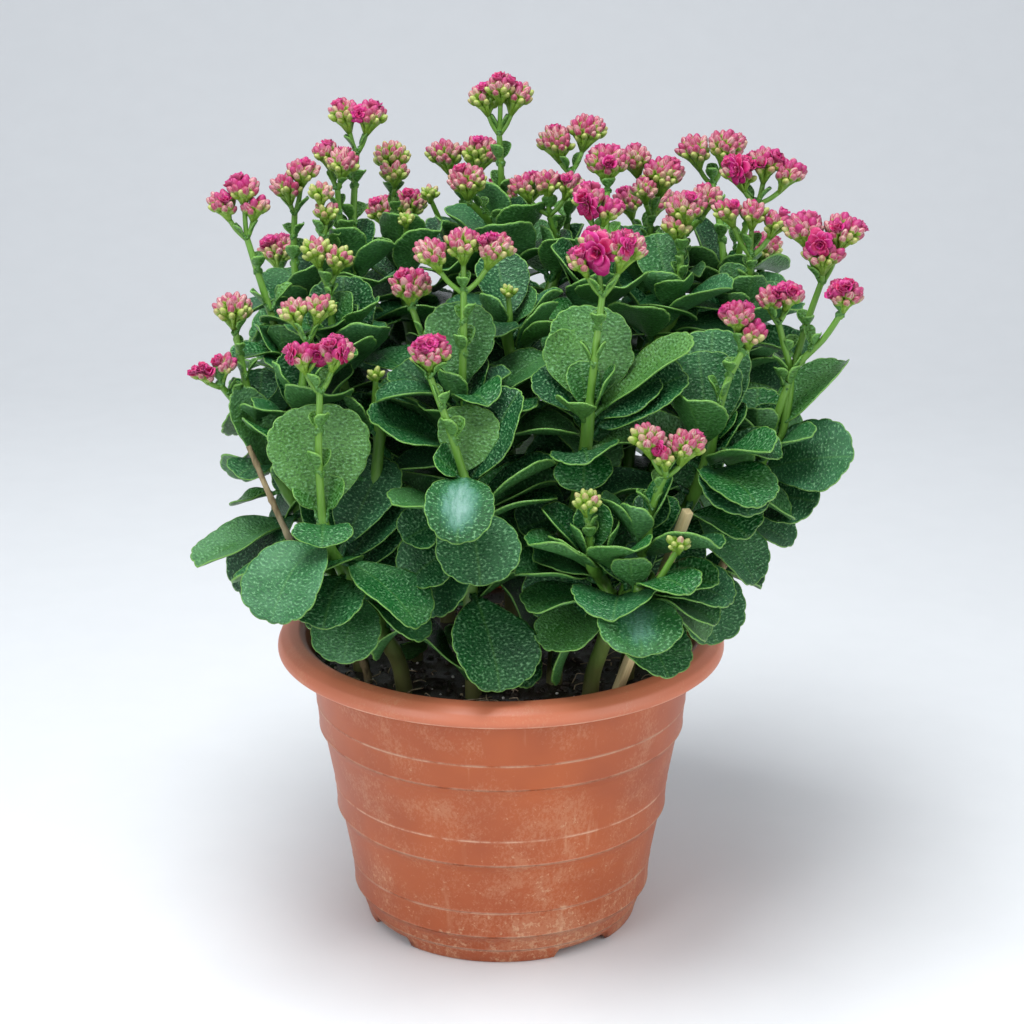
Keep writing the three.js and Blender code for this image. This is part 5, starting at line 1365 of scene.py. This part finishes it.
def leaves_in_sight(points):
    """An added leaf does not stand in front of the leaves that stand out."""
    low, high = points.min(axis=0), points.max(axis=0)
    near = sight_spots[(sight_spots[:, 0] > low[0]) & (sight_spots[:, 0] < high[0])
                       & (sight_spots[:, 1] > low[1])]
    tree = BVHTree.FromPolygons(points.tolist(), TEST_FACES)
    hidden = sum(tree.ray_cast(spot, TOWARDS_FRONT)[0] is not None for spot in near)
    return hidden <= MAY_HIDE


# %% Try leaves one after the other
def try_leaves(candidates, shifts=SHIFTS):
    """Adds each candidate in the first of its shifted positions that is clear. Returns how many fitted."""
    fitted = 0
    for leaf in candidates:
        seed = len(leaves)
        for shift in shifts:
            trial = dress_leaf(shifted(leaf, shift), seed)
            points = test_points(trial, seed)
            if hides_nothing(trial) and is_clear(points, TEST_FACES) and leaves_in_sight(points):
                leaves.append(trial)
                occupy(points, TEST_FACES)
                fitted += 1
                break
    return fitted


# %% Keep the coarse leaves that are clear of the listed ones
coarse_leaves = leaves
leaves = []
nodes_only = len(occupied)
for leaf in coarse_leaves:
    standing_out = occupied[nodes_only:nodes_only + len(TURNED_LEAVES) + len(ADDED_LEAVES)]
    dress_leaf(leaf, len(leaves))
    points = test_points(leaf, len(leaves))
    if "stands_out" in leaf or is_clear(points, TEST_FACES, standing_out):
        leaves.append(leaf)
        occupy(points, TEST_FACES)
    else:
        leaf.setdefault("facing", 1)
        spare_leaves.append(leaf)
sight_spots = np.concatenate([bend_leaf(leaf, SIGHT_POINTS, index)[0]
                              for index, leaf in enumerate(leaves) if "stands_out" in leaf])
print("leaves kept", len(leaves), "of", len(coarse_leaves))

# %% Add the spare pairs, from the outermost in
spare_leaves = [leaf for leaf in spare_leaves if (leaf["stem"], leaf["pair"]) not in BARE_PAIRS]
spare_leaves.sort(key=lambda leaf: (-leaf["facing"], leaf["pair"]))
print("leaves added", try_leaves(spare_leaves), "leaves in all", len(leaves))

# %% Close the crown round the foot of the flower stalks
CROWN_LEAVES = 8
LEAVES_ON_A_LEVEL = 4
CROWN_SHIFTS = SHIFTS[:13]
HANGS_FROM = 0.35
HANGING = dict(length=44, rise=34, droop=66)
STANDING = dict(length=38, rise=66, droop=12)


def outward_share(shoot, azimuth):
    """1 for a leaf that points away from the middle of the plant, and -1 for one that points inwards."""
    outward = np.array(shoot["plan"]["apex"][:2]) - PLANT_MIDDLE
    way = math.radians(azimuth)
    return float(np.array([math.cos(way), math.sin(way)]) @ outward / np.linalg.norm(outward))


def crown_leaves(shoot):
    """Leaves on two levels between a shoot's pairs. They hang on its outer side and stand on its inner."""
    for number in range(CROWN_LEAVES):
        seed = 900 + 40 * shoot["stem"] + 10 * shoot["order"] + number
        level = number // LEAVES_ON_A_LEVEL
        azimuth = shoot["plan"]["turn"] + 45 + 90 * number + 45 * level + 14 * scatter(seed, 11)
        form = HANGING if outward_share(shoot, azimuth) > HANGS_FROM else STANDING
        length = form["length"] + 8 * level + 6 * scatter(seed, 12)
        yield dict(stem=shoot["stem"], azimuth=azimuth, roll=12 * scatter(seed, 15),
                   rise=form["rise"] + 8 * scatter(seed, 13), droop=form["droop"] + 6 * scatter(seed, 14),
                   length=length, width=length * (0.78 + 0.06 * scatter(seed, 16)),
                   base=point_below(shoot["stations"], 9 + 15 * level + 3 * scatter(seed, 17)))


crown = sum(try_leaves(crown_leaves(shoot), CROWN_SHIFTS) for shoot in shoots
            if shoot["stem"] not in BARE_CROWNS)
print("crown leaves", crown, "leaves in all", len(leaves))

# %% [markdown]
# ## Leaf colour
# The upper face is deep green and satin, with fine pale dashes across the leaf: painted glints where
# light catches its cells. It has a faint lighter rib, and a thin yellow-green line along the edge. Some
# leaves wear a bluish bloom of wax, painted paler with a painted sheen too, and the waxiest carry a
# painted highlight, a sheen and shine painted along the middle. The underside is paler and smoother. All
# of it is drawn in the leaf's own flat map, so the pattern follows every bend.

# %% Leaf colours
LEAF_DARK = (0.003, 0.048, 0.012)
LEAF_MIDDLE = (0.009, 0.110, 0.017)
LEAF_LIGHT = (0.090, 0.240, 0.036)
LEAF_EDGE = (0.20, 0.42, 0.08)
LEAF_PAINTED_GLINT = (0.22, 0.45, 0.22)
LEAF_WAX_AND_SHEEN = (0.11, 0.29, 0.19)
# Painted sheen and painted shine: highlights painted into the colour of the waxiest leaves.
LEAF_PAINTED_SHEEN = (0.05, 0.23, 0.14)
LEAF_PAINTED_SHINE = (0.30, 0.46, 0.42)
LEAF_UNDER = (0.10, 0.27, 0.06)
LEAF_BETWEEN_CELLS = (0.001, 0.020, 0.006)


def leaf_look(name, paler):
    """One face of a leaf. paler is 0 for the upper face, and more for the underside."""
    look = new_look(name, Roughness=0.35, Specular_IOR_Level=0.36)
    flat = flat_map(look)
    tone = painted(look, "tone")
    wax = painted(look, "wax")
    margin = painted(look, "margin")
    rib = painted(look, "rib")
    cloud = speckle(look, flat, 5.0, 3.0, 0.55)
    dashes = speckle(look, stretched(look, flat, (0.7, 1, 1)), 88.0, 2.0, 0.5)
    cells = speckle(look, flat, 240.0, 2.0, 0.6)
    light = plus(look, times(look, tone, 0.75), times(look, cloud, 0.5))
    shade = blend(look, between(look, light, 0.25, 0.6), LEAF_DARK, LEAF_MIDDLE)
    shade = blend(look, between(look, light, 0.6, 1.0), shade, LEAF_LIGHT)
    shade = blend(look, paler, shade, LEAF_UNDER)
    shade = blend(look, between(look, dashes, 0.50, 0.36, 0.55), shade, LEAF_BETWEEN_CELLS)
    # Painted glints: pale dashes painted where light catches the leaf's cells.
    fleck = between(look, dashes, 0.565, 0.64)
    shade = blend(look, times(look, fleck, 0.60 - 0.5 * paler), shade, LEAF_PAINTED_GLINT)
    shade = blend(look, between(look, rib, 1.0, 0.2, 0.28), shade, LEAF_LIGHT)
    # The waxiest leaves get a painted highlight: a painted sheen and a painted shine along the middle of
    # the blade.
    painted_shine_strength = between(look, wax, 0.8, 1.0)
    # A bluish bloom of wax, which also stands for a painted pale sheen on the waxier leaves.
    wax_and_painted_sheen = times(look, wax, between(look, cloud, 0.3, 0.62, 0.42))
    wax_and_painted_sheen = minus(look, wax_and_painted_sheen, times(look, painted_shine_strength, 0.36))
    shade = blend(look, wax_and_painted_sheen, shade, LEAF_WAX_AND_SHEEN)
    streaks = speckle(look, stretched(look, flat, (1, 0.3, 1)), 42.0, 4.0, 0.65)
    painted_shine_mask = times(look, painted_shine_strength, between(look, rib, 15.0, 1.0))
    painted_shine_mask = times(look, painted_shine_mask, between(look, margin, 1.5, 11.0))
    uneven = plus(look, between(look, streaks, 0.3, 0.66, 0.8), 0.35)
    painted_shine_mask = times(look, painted_shine_mask, uneven)
    shade = blend(look, between(look, painted_shine_mask, 0.06, 0.45, 0.7), shade, LEAF_PAINTED_SHEEN)
    shade = blend(look, between(look, painted_shine_mask, 0.2, 0.95, 0.6), shade, LEAF_PAINTED_SHINE)
    shade = blend(look, between(look, margin, 0.48, 0.15, 0.75), shade, LEAF_EDGE)
    roughness = plus(look, times(look, dashes, 0.3), 0.14 + 0.2 * paler)
    roughness = plus(look, roughness, times(look, wax, 0.15))
    relief = plus(look, dashes, times(look, cells, 0.35))
    return finish_look(look, shade, roughness, relief, 0.9 - 0.5 * paler)


# %% Stem colours
STEM_DARK = (0.040, 0.16, 0.014)
STEM_LIGHT = (0.135, 0.31, 0.030)
STEM_STREAK = (0.24, 0.42, 0.10)
STEM_CORK = (0.13, 0.10, 0.045)


def stem_look():
    """Fleshy stem: yellow-green above, browner and corky towards the soil."""
    look = new_look("fleshy_stem", Roughness=0.42)
    place = body_place(look)
    tone = painted(look, "tone")
    height = shader_node(look, "SeparateXYZ", {0: place}, 2)
    streaks = speckle(look, stretched(look, place, (1, 1, 0.15)), 500.0, 3.0, 0.6)
    patches = speckle(look, place, 50.0, 3.0)
    shade = blend(look, tone, STEM_DARK, STEM_LIGHT)
    shade = blend(look, between(look, streaks, 0.35, 0.75, 0.3), shade, STEM_STREAK)
    low = between(look, plus(look, height, times(look, patches, 0.06)), 0.25, 0.19)
    shade = blend(look, times(look, low, 0.8), shade, STEM_CORK)
    return finish_look(look, shade, None, streaks, 0.25)


leaf_top = leaf_look("leaf_upper_face", 0.0)
leaf_under = leaf_look("leaf_underside", 0.45)
stem_skin = stem_look()

# %% [markdown]
# ## Stems and flower stalks
# A stem tapers to its top and swells where a pair of leaves sits. Its first flower stalk goes straight
# on from it, and the others leave just below its top. Stalks carry pairs of small spoon-shaped bracts,
# and fork into the thin stalklets that hold the lobes of a head.

# %% Points of the stalks
STALK_RADII = (2.1, 1.6)
STALKLET_RADIUS = 1.35
BRANCH_BELOW, BRANCH_ASIDE, BRANCH_UP = 7, 6, 6


def lobe_joint(lobe, fork):
    """Where the short stalks of one lobe's buds come together, between the lobe and the fork."""
    x, y, z, radius = lobe
    joint = np.array([x + 0.3 * (fork[0] - x), y + 0.3 * (fork[1] - y), z - 1.1 * radius])
    joint[2] = max(joint[2], fork[2] + 1)
    return joint


def stalk_path(head):
    """The points of a head's flower stalk above the shoot's top, ending at its fork."""
    return [*[np.array(point, dtype=float) for point in head["via"]], np.array(head["fork"], dtype=float)]


def branch_start(apex, towards):
    """The first points of a stalk that leaves the stem just below its top, on the side it grows to."""
    apex = np.array(apex, dtype=float)
    start = apex - UP * BRANCH_BELOW
    aside = (towards - apex) * [1, 1, 0]
    aside = aside / np.linalg.norm(aside) * BRANCH_ASIDE
    return [start, start + aside + UP * BRANCH_UP]


def tapered(points, radii, step=2.5):
    """A smooth path through the points, with a radius for each of its stations."""
    curve = Curve(points)
    count = max(4, int(curve.length / step))
    shares = np.linspace(0, 1, count)
    return curve.along(shares), radii[0] + (radii[1] - radii[0]) * shares


# %% Bracts
BRACT_LENGTH = 16.0
BRACTS_AT = (0.36, 0.68)


def add_bracts(piece, place, turn, length, seed):
    """A pair of small spoon-shaped leaves on a flower stalk."""
    for half in (0, 1):
        bract = dict(base=place, azimuth=turn + 180 * half + 12 * scatter(seed, half),
                     rise=66 + 9 * scatter(seed, 3), droop=16 + 14 * scatter(seed, 4 + half),
                     roll=8 * scatter(seed, 5), length=length * (1 + 0.15 * scatter(seed, 6 + half)),
                     width=length * (0.62 + 0.1 * scatter(seed, 8)), tone=0.95, wax=0.0, cup=0.15)
        add_leaf(piece, bract, seed + 0.37 * half)


# %% The stem of one shoot
STEM_SIDES = 12
SKIN = 2
STEM_STATION_EVERY = 2.0
NODE_SWELLING = 0.16
NODE_REACH = 2.6
STALK_TONE = 0.75
TONE_AT_SOIL, TONE_AT_TOP = 0.2, 0.5
TONE_CHANGES_OVER = 12


def add_shoot(piece, shoot, stem_leaves, heads):
    """The stem of a shoot from the soil or its fork, and its first flower stalk in one tube with it."""
    plan, order = shoot["plan"], shoot["order"]
    curve = shoot["curve"]
    start_radius = STEM_RADIUS * (SIDE_SHOOT_SHARE if order else 1)
    points = list(curve.along(np.linspace(0, 1, 9)))
    path, radii = tapered(points, (start_radius, APEX_RADIUS), STEM_STATION_EVERY)
    if not order:
        foot = np.array([[*plan["foot"], BURIED_TO], [*plan["foot"], SOIL_TOP]], dtype=float)
        path = np.concatenate([foot, path])
        radii = np.concatenate([[STEM_RADIUS, STEM_RADIUS], radii])
    if heads:
        onward, thin = tapered([plan["apex"], *stalk_path(heads[0])], STALK_RADII)
        path = np.concatenate([path, onward[1:]])
        radii = np.concatenate([radii, thin[1:]])
    swelling = np.zeros(len(path))
    for leaf in stem_leaves:
        near = np.linalg.norm(path - leaf["base"], axis=1)
        swelling = np.maximum(swelling, NODE_SWELLING * np.exp(-(near / NODE_REACH) ** 2))
    radii = radii * (1 + swelling)
    top = plan["apex"][2]
    tones = np.interp(path[:, 2], [SOIL_TOP, top, top + TONE_CHANGES_OVER],
                      [TONE_AT_SOIL, TONE_AT_TOP, STALK_TONE])
    ring = np.rint(tube_template(STEM_SIDES, len(path)).points[:, 2]).astype(int)
    add_tube(piece, path, radii, STEM_SIDES, None, SKIN, tone=tones[ring])


# %% The stalks of one head
STALK_SIDES = 8


def add_head_stalks(piece, head, index, apex, is_first):
    """The stalk of a head, its bracts, and a stalklet to each lobe."""
    path = stalk_path(head)
    if not is_first:
        points, radii = tapered([*branch_start(apex, path[0]), *path], STALK_RADII)
        add_tube(piece, points, radii, STALK_SIDES, None, SKIN, tone=STALK_TONE)
    fork = path[-1]
    whole = Curve([apex, *path])
    for number, place in enumerate(whole.along(np.array(BRACTS_AT))):
        length = BRACT_LENGTH * (1 - 0.2 * number) * min(1.0, 0.5 + whole.length / 120)
        add_bracts(piece, place, 90 * number + 90 * scatter(index, 21), length, index + 0.1 + number)
    add_bracts(piece, fork - UP, 90 * scatter(index, 22) + 90, 0.72 * BRACT_LENGTH, index + 0.2)
    for lobe in head["lobes"]:
        joint = lobe_joint(lobe, fork)
        bend = fork + 0.5 * (joint - fork) + 0.12 * (joint - fork) * [1, 1, 0] - UP * 0.4
        path = [fork - UP * 1.5, bend, joint + UP * 0.6]
        points, radii = tapered(path, (STALKLET_RADIUS, STALKLET_RADIUS), STEM_STATION_EVERY)
        add_tube(piece, points, radii, STALK_SIDES, None, SKIN, tone=STALK_TONE + 0.1)


# %% Build the leafy stems
for stem in range(len(STEMS)):
    piece = with_layers(bmesh.new())
    for shoot in (shoot for shoot in shoots if shoot["stem"] == stem):
        own_heads = [index for index, head in enumerate(HEADS) if head["stem"] == [stem, shoot["order"]]]
        near = [leaf for leaf in leaves if leaf["stem"] == stem]
        add_shoot(piece, shoot, near, [HEADS[index] for index in own_heads])
        for number, index in enumerate(own_heads):
            add_head_stalks(piece, HEADS[index], index, shoot["plan"]["apex"], number == 0)
    for index, leaf in enumerate(leaves):
        if leaf["stem"] == stem:
            add_leaf(piece, leaf, index)
    for index, (bud_stem, order, x, y, z, radius) in enumerate(GREEN_BUDS):
        if bud_stem == stem:
            apex = STEMS[stem][order]["apex"]
            goal = np.array([x, y, z - 0.5 * radius])
            points, radii = tapered([*branch_start(apex, goal), goal], (1.9, 1.4))
            add_tube(piece, points, radii, STALK_SIDES, None, SKIN, tone=STALK_TONE)
    finish_piece(piece, f"stem_{stem + 1:02}", [leaf_top, leaf_under, stem_skin],
                 f"leafy_stem_{stem + 1:02}")

# %% [markdown]
# ## Buds and open flowers
# This kalanchoe has double flowers: a bud is a tight egg of rolled petals in four short green sepals, and
# an open flower is a rosette of some thirty petals. A bud is a sphere drawn to a point, with four soft
# ribs. A petal is a small curved plate with thickness, and a flower is several rings of petals, each
# ring smaller and steeper than the one outside it.

# %% Bud and petal templates
BUD_SIDES = 8
BUD_RINGS = 8


def bud_template():
    """A ball of eight sides by eight rings."""
    bud = bmesh.new()
    bmesh.ops.create_uvsphere(bud, u_segments=BUD_SIDES, v_segments=BUD_RINGS, radius=1)
    return Template(bud, "bud")


def petal_template(columns, rows):
    """Points come out as (across, along from 0 to 1, side)."""
    petal = bmesh.new()
    bmesh.ops.create_grid(petal, x_segments=columns, y_segments=rows, size=1)
    bmesh.ops.solidify(petal, geom=petal.faces[:], thickness=0.1)
    for vert in petal.verts:
        vert.co.y = (vert.co.y + 1) / 2
        vert.co.z = 1 if vert.co.z > -0.05 else -1
    bmesh.ops.recalc_face_normals(petal, faces=petal.faces)
    return Template(petal, "petal")


bud_shape = bud_template()
petal_shape = petal_template(4, 4)


# %% Place a bud or a petal
def upright(way):
    """Three directions at right angles, the last along way."""
    way = way / np.linalg.norm(way)
    first = np.cross(way, (0.2, 0.9, 0.35))
    first /= np.linalg.norm(first)
    return np.stack([first, np.cross(way, first), way])


def add_bud(piece, base, way, length, width, ripe, seed):
    """An egg of rolled petals from base along way. tone is its ripeness and margin its height share."""
    x, y, z = bud_shape.points.T
    turn = np.arctan2(y, x)
    share = (z + 1) / 2
    sepal = (share > 0.1) * (share < 0.5 - 0.25 * ripe)
    ribs = 1 + 0.05 * np.cos(4 * turn) + 0.07 * sepal
    round_radius = np.hypot(x, y) * width / 2 * (1.1 - 0.36 * share) * ribs
    along = length * share
    local = np.stack([np.cos(turn) * round_radius, np.sin(turn) * round_radius, along], axis=1)
    places = base + local @ upright(way)
    flat = np.stack([np.abs(turn) * width / 2, along], axis=1) + 40 * scatter(seed, 5)
    bud_shape.add_to(piece, places, flat, 0, tone=ripe, margin=share,
                     rib=np.cos(4 * turn) * 0.5 + 0.5, wax=0.5 + 0.5 * scatter(seed, 6))


def add_petal(piece, centre, axes, turn, length, width, rise, curl, seed):
    """A petal from the flower's centre outwards: rise is its slope at the foot, in degrees."""
    u, v, side = petal_shape.points.T
    start, bend = math.radians(rise), math.radians(curl)
    slope = start - bend * v
    out = length * (math.sin(start) - np.sin(slope)) / bend
    up = length * (np.cos(slope) - math.cos(start)) / bend
    shape = np.sqrt(np.clip(1 - (2 * v - 1.05) ** 2 * 0.75, 0, 1)) * (0.45 + 0.65 * v)
    across = u * width / 2 * shape
    cup = 0.25 * np.abs(u) ** 2 * width / 2 * shape
    point = 1 + 0.12 * (1 - np.abs(u)) * v ** 3
    local = np.stack([out * point, across, up + cup + side * 0.13], axis=1)
    spin = Matrix.Rotation(turn, 3, "Z")
    places = centre + local @ np.array(spin).T @ axes
    flat = local[:, :2] + 40 * scatter(seed, 7)
    petal_shape.add_to(piece, places, flat, 1, tone=0.5 + 0.5 * scatter(seed, 8),
                       margin=v, rib=np.abs(u), wax=side * 0.5 + 0.5)


# %% Place a flower
def add_flower(piece, centre, way, radius, rings, seed):
    """A double flower. Each ring is [petals, size share, slope, curl]."""
    axes = upright(way)
    for ring, (count, size, rise, curl) in enumerate(rings):
        for petal in range(count):
            number = seed + 10 * ring + petal
            turn = math.tau * (petal + 0.5 * (ring % 2)) / count + 0.14 * scatter(number, 51)
            length = radius * size * (1 + 0.08 * scatter(number, 52))
            add_petal(piece, centre, axes, turn, length, length * 0.98, rise + 7 * scatter(number, 53),
                      curl + 10 * scatter(number, 54), number)


OPEN_FLOWER = [(5, 1.0, 16, 34), (5, 0.9, 34, 36), (4, 0.72, 54, 24), (4, 0.55, 70, 10), (3, 0.4, 82, -12)]
HALF_OPEN = [(4, 1.0, 66, 14), (3, 0.95, 78, -8), (3, 0.8, 86, -30)]


# %% Bud colours
BUD_ROSE, BUD_RIPE_ROSE = (0.385, 0.115, 0.155), (0.385, 0.020, 0.125)
BUD_PALE = (0.51, 0.30, 0.27)
BUD_YOUNG, BUD_YOUNG_TOP = (0.19, 0.34, 0.03), (0.40, 0.44, 0.12)
BUD_STREAK = (0.34, 0.006, 0.07)
BUD_TOP = (0.38, 0.009, 0.13)
SEPAL, SEPAL_EDGE = (0.20, 0.35, 0.025), (0.46, 0.42, 0.18)
BUD_DUST = (0.7, 0.5, 0.5)


def bud_look():
    """Green sepals at the foot, then rose or pale petals with magenta streaks, and a redder tip."""
    look = new_look("bud_skin", Roughness=0.5)
    place = body_place(look)
    ripe = painted(look, "tone")
    share = painted(look, "margin")
    ribs = painted(look, "rib")
    varied = painted(look, "wax")
    veins = speckle(look, stretched(look, flat_map(look), (1, 0.25, 1)), 85.0, 2.0, 0.5)
    mottle = speckle(look, place, 500.0, 3.0)
    rose = blend(look, between(look, ripe, 0.5, 0.85), BUD_ROSE, BUD_RIPE_ROSE)
    petals = blend(look, between(look, varied, 0.3, 0.6), rose, BUD_PALE)
    petals = blend(look, between(look, ripe, 0.72, 0.92), petals, rose)
    young = blend(look, between(look, share, 0.55, 0.95), BUD_YOUNG, BUD_YOUNG_TOP)
    shade = blend(look, between(look, ripe, 0.2, 0.36), young, petals)
    streak = times(look, between(look, ripe, 0.15, 0.4, 0.85), between(look, veins, 0.48, 0.55))
    shade = blend(look, streak, shade, BUD_STREAK)
    top = plus(look, times(look, share, ripe), times(look, varied, 0.15))
    shade = blend(look, between(look, top, 0.58, 0.78, 0.8), shade, BUD_TOP)
    sepal_top = minus(look, 0.58, times(look, ripe, 0.28))
    sepal_top = plus(look, sepal_top, times(look, ribs, 0.2))
    above = minus(look, share, sepal_top)
    shade = blend(look, between(look, above, 0.1, 0.0, 0.6), shade, SEPAL_EDGE)
    shade = blend(look, between(look, above, 0.02, -0.06), shade, SEPAL)
    shade = blend(look, between(look, mottle, 0.5, 0.7, 0.1), shade, BUD_DUST)
    return finish_look(look, shade, None, veins, 0.15)


# %% Petal and stalk colours
PETAL_RED, PETAL_PINK = (0.43, 0.004, 0.075), (0.48, 0.010, 0.18)
PETAL_FOOT = (0.47, 0.008, 0.018)
PETAL_VEIN = (0.60, 0.05, 0.26)
PETAL_BACK = (0.56, 0.15, 0.27)
PETAL_EDGE = (0.68, 0.20, 0.42)
STALKLET_DARK, STALKLET_LIGHT = (0.13, 0.28, 0.02), (0.25, 0.42, 0.05)


def petal_look():
    """Magenta, redder towards the middle of the flower and paler along the edge and on the back."""
    look = new_look("petal_skin", Roughness=0.45)
    tone = painted(look, "tone")
    share = painted(look, "margin")
    edge = painted(look, "rib")
    front = painted(look, "wax")
    veins = speckle(look, stretched(look, flat_map(look), (1, 4, 1)), 120.0, 2.0)
    shade = blend(look, tone, PETAL_RED, PETAL_PINK)
    shade = blend(look, between(look, share, 0.7, 0.1, 0.8), shade, PETAL_FOOT)
    shade = blend(look, between(look, veins, 0.5, 0.7, 0.3), shade, PETAL_VEIN)
    shade = blend(look, between(look, front, 0.6, 0.1, 0.5), shade, PETAL_BACK)
    shade = blend(look, between(look, edge, 0.8, 1.0, 0.4), shade, PETAL_EDGE)
    return finish_look(look, shade, None, veins, 0.1)


def stalklet_look():
    """The yellow-green stalks of the buds."""
    look = new_look("bud_stalk", Roughness=0.5)
    place = body_place(look)
    mottle = speckle(look, place, 300.0, 3.0)
    return finish_look(look, blend(look, between(look, mottle, 0.3, 0.7), STALKLET_DARK, STALKLET_LIGHT))


bud_skin = bud_look()
petal_skin = petal_look()
bud_stalk = stalklet_look()

# %% [markdown]
# ## The heads
# A head is a flat-topped cluster of lobes. In each lobe the buds stand on short stalks that spread from
# one joint, the oldest and pinkest in the middle and small green ones at the rim. Directions spaced by
# the golden angle give each bud its place, as they do on the plant, and buds that would sit inside
# another lobe or an open flower are left out.

# %% Where open flowers sit
BLOOM_DEPTH = 2


def lobe_exit(way, middle, lobe):
    """How far a ray from the head's middle runs before it leaves the lobe."""
    offset = np.array(lobe[:3]) - middle
    along = way @ offset
    square = along * along - offset @ offset + lobe[3] ** 2
    return along + math.sqrt(square) if square > 0 else 0


def bloom_places(head):
    """Yields the place, direction and radius of each open flower on a head's surface."""
    middle = np.array(head["lobes"], dtype=float)[:, :3].mean(axis=0)
    for azimuth, rise, radius in head["blooms"]:
        turn, tilt = math.radians(azimuth), math.radians(rise)
        way = np.array([math.cos(tilt) * math.cos(turn), math.cos(tilt) * math.sin(turn), math.sin(tilt)])
        far = max(lobe_exit(way, middle, lobe) for lobe in head["lobes"])
        yield middle + way * (far - BLOOM_DEPTH), way, radius


# %% The buds of one lobe
GOLDEN_ANGLE = math.pi * (3 - math.sqrt(5))
BUDS_PER_SQUARE = 0.32
BUD_LENGTH, BUD_WIDTH = 8.0, 5.5
HALF_OPEN_FROM = 0.66
LOWEST_BUD = math.radians(106)
DOME = 0.8


def add_lobe(piece, lobe, fork, ripeness, neighbours, blooms, seed, half_open=True):
    """The buds of one lobe on their stalks. They spread from the joint below, so the lobe is a funnel."""
    centre, radius = np.array(lobe[:3], dtype=float), lobe[3]
    joint = lobe_joint(lobe, fork)
    count = max(6, round(BUDS_PER_SQUARE * radius * radius))
    for index in range(count):
        number = 50 * seed + index
        polar = math.acos(1 - (1 - math.cos(LOWEST_BUD)) * (index + 0.5) / count)
        polar *= 1 + 0.05 * scatter(number, 35)
        turn = index * GOLDEN_ANGLE + seed + 0.2 * scatter(number, 36)
        way = np.array([math.sin(polar) * math.cos(turn), math.sin(polar) * math.sin(turn),
                        DOME * math.cos(polar)])
        rim = polar / LOWEST_BUD
        tip = centre + way * radius * (1.05 + 0.07 * scatter(number, 31) - 0.08 * rim ** 3)
        if any(np.linalg.norm(tip - other[:3]) < 0.9 * other[3] for other in neighbours):
            continue
        if any(np.linalg.norm(tip - place) < 0.8 * size for place, _, size in blooms):
            continue
        ripe = np.clip(ripeness + 0.14 - 0.60 * rim ** 2.4 + 0.24 * scatter(number, 32), 0, 1)
        size = (0.70 + 0.34 * ripe) * (1 + 0.08 * scatter(number, 33)) * min(1, 0.6 + radius / 22)
        length, width = BUD_LENGTH * size, BUD_WIDTH * size
        spread = (tip - joint) / np.linalg.norm(tip - joint)
        lean = 0.35 * way + 0.65 * spread
        lean = lean / np.linalg.norm(lean)
        base = tip - lean * length
        if half_open and ripe > HALF_OPEN_FROM and scatter(number, 34) > 0.45:
            add_bud(piece, base, lean, length * 0.72, width * 0.85, ripe, number)
            add_flower(piece, base + lean * length * 0.25, lean, length * 0.8, HALF_OPEN, number)
        else:
            add_bud(piece, base, lean, length, width, ripe, number)
        path = [joint, joint + 0.6 * (base - joint) + 0.3 * spread, base + lean * 0.9]
        add_tube(piece, path, (1.05, 1.0, 2.0 * size), 6, None, SKIN)


# %% Build the heads
# How far each head has ripened: 0 is a green bud, and 1 is about to open.
RIPENESS = [0.75, 0.65, 0.5, 0.65, 0.55, 0.4, 0.1, 0.65, 0.7, 0.75, 0.6, 0.45, 0.7, 0.35, 0.6, 0.25,
            0.55, 0.5, 0.5, 0.3, 0.3, 0.45, 0.5, 0.45, 0.5, 0.5, 0.65, 0.75, 0.5, 0.5, 0.55, 0.65,
            0.5, 0.5, 0.5, 0.5, 0.5, 0.5, 0.5]
for index, head in enumerate(HEADS):
    piece = with_layers(bmesh.new())
    fork = np.array(head["fork"], dtype=float)
    blooms = list(bloom_places(head))
    for number, lobe in enumerate(head["lobes"]):
        others = [np.array(other, dtype=float) for other in head["lobes"] if other is not lobe]
        add_lobe(piece, lobe, fork, RIPENESS[index], others, blooms, 3.1 * index + number)
    for number, (place, way, radius) in enumerate(blooms):
        add_flower(piece, place - way * radius * 0.25, way, radius, OPEN_FLOWER, 7 * index + number)
        nearest = min(head["lobes"], key=lambda lobe: np.linalg.norm(place - lobe[:3]))
        joint = lobe_joint(nearest, fork)
        path = [joint, (joint + place) / 2 - UP, place - way * radius * 0.2]
        add_tube(piece, path, (0.9, 0.9, 1.3), 5, None, SKIN)
    finish_piece(piece, f"head_{index + 1:02}", [bud_skin, petal_skin, bud_stalk],
                 f"flower_head_{index + 1:02}")

# %% Build the small green heads
for index, (stem, order, *lobe) in enumerate(GREEN_BUDS):
    piece = with_layers(bmesh.new())
    fork = np.array(lobe[:3]) - UP * lobe[3] * 1.1
    add_lobe(piece, lobe, fork, 0.0, [], [], 200 + index, half_open=False)
    finish_piece(piece, f"green_buds_{index + 1}", [bud_skin, petal_skin, bud_stalk])
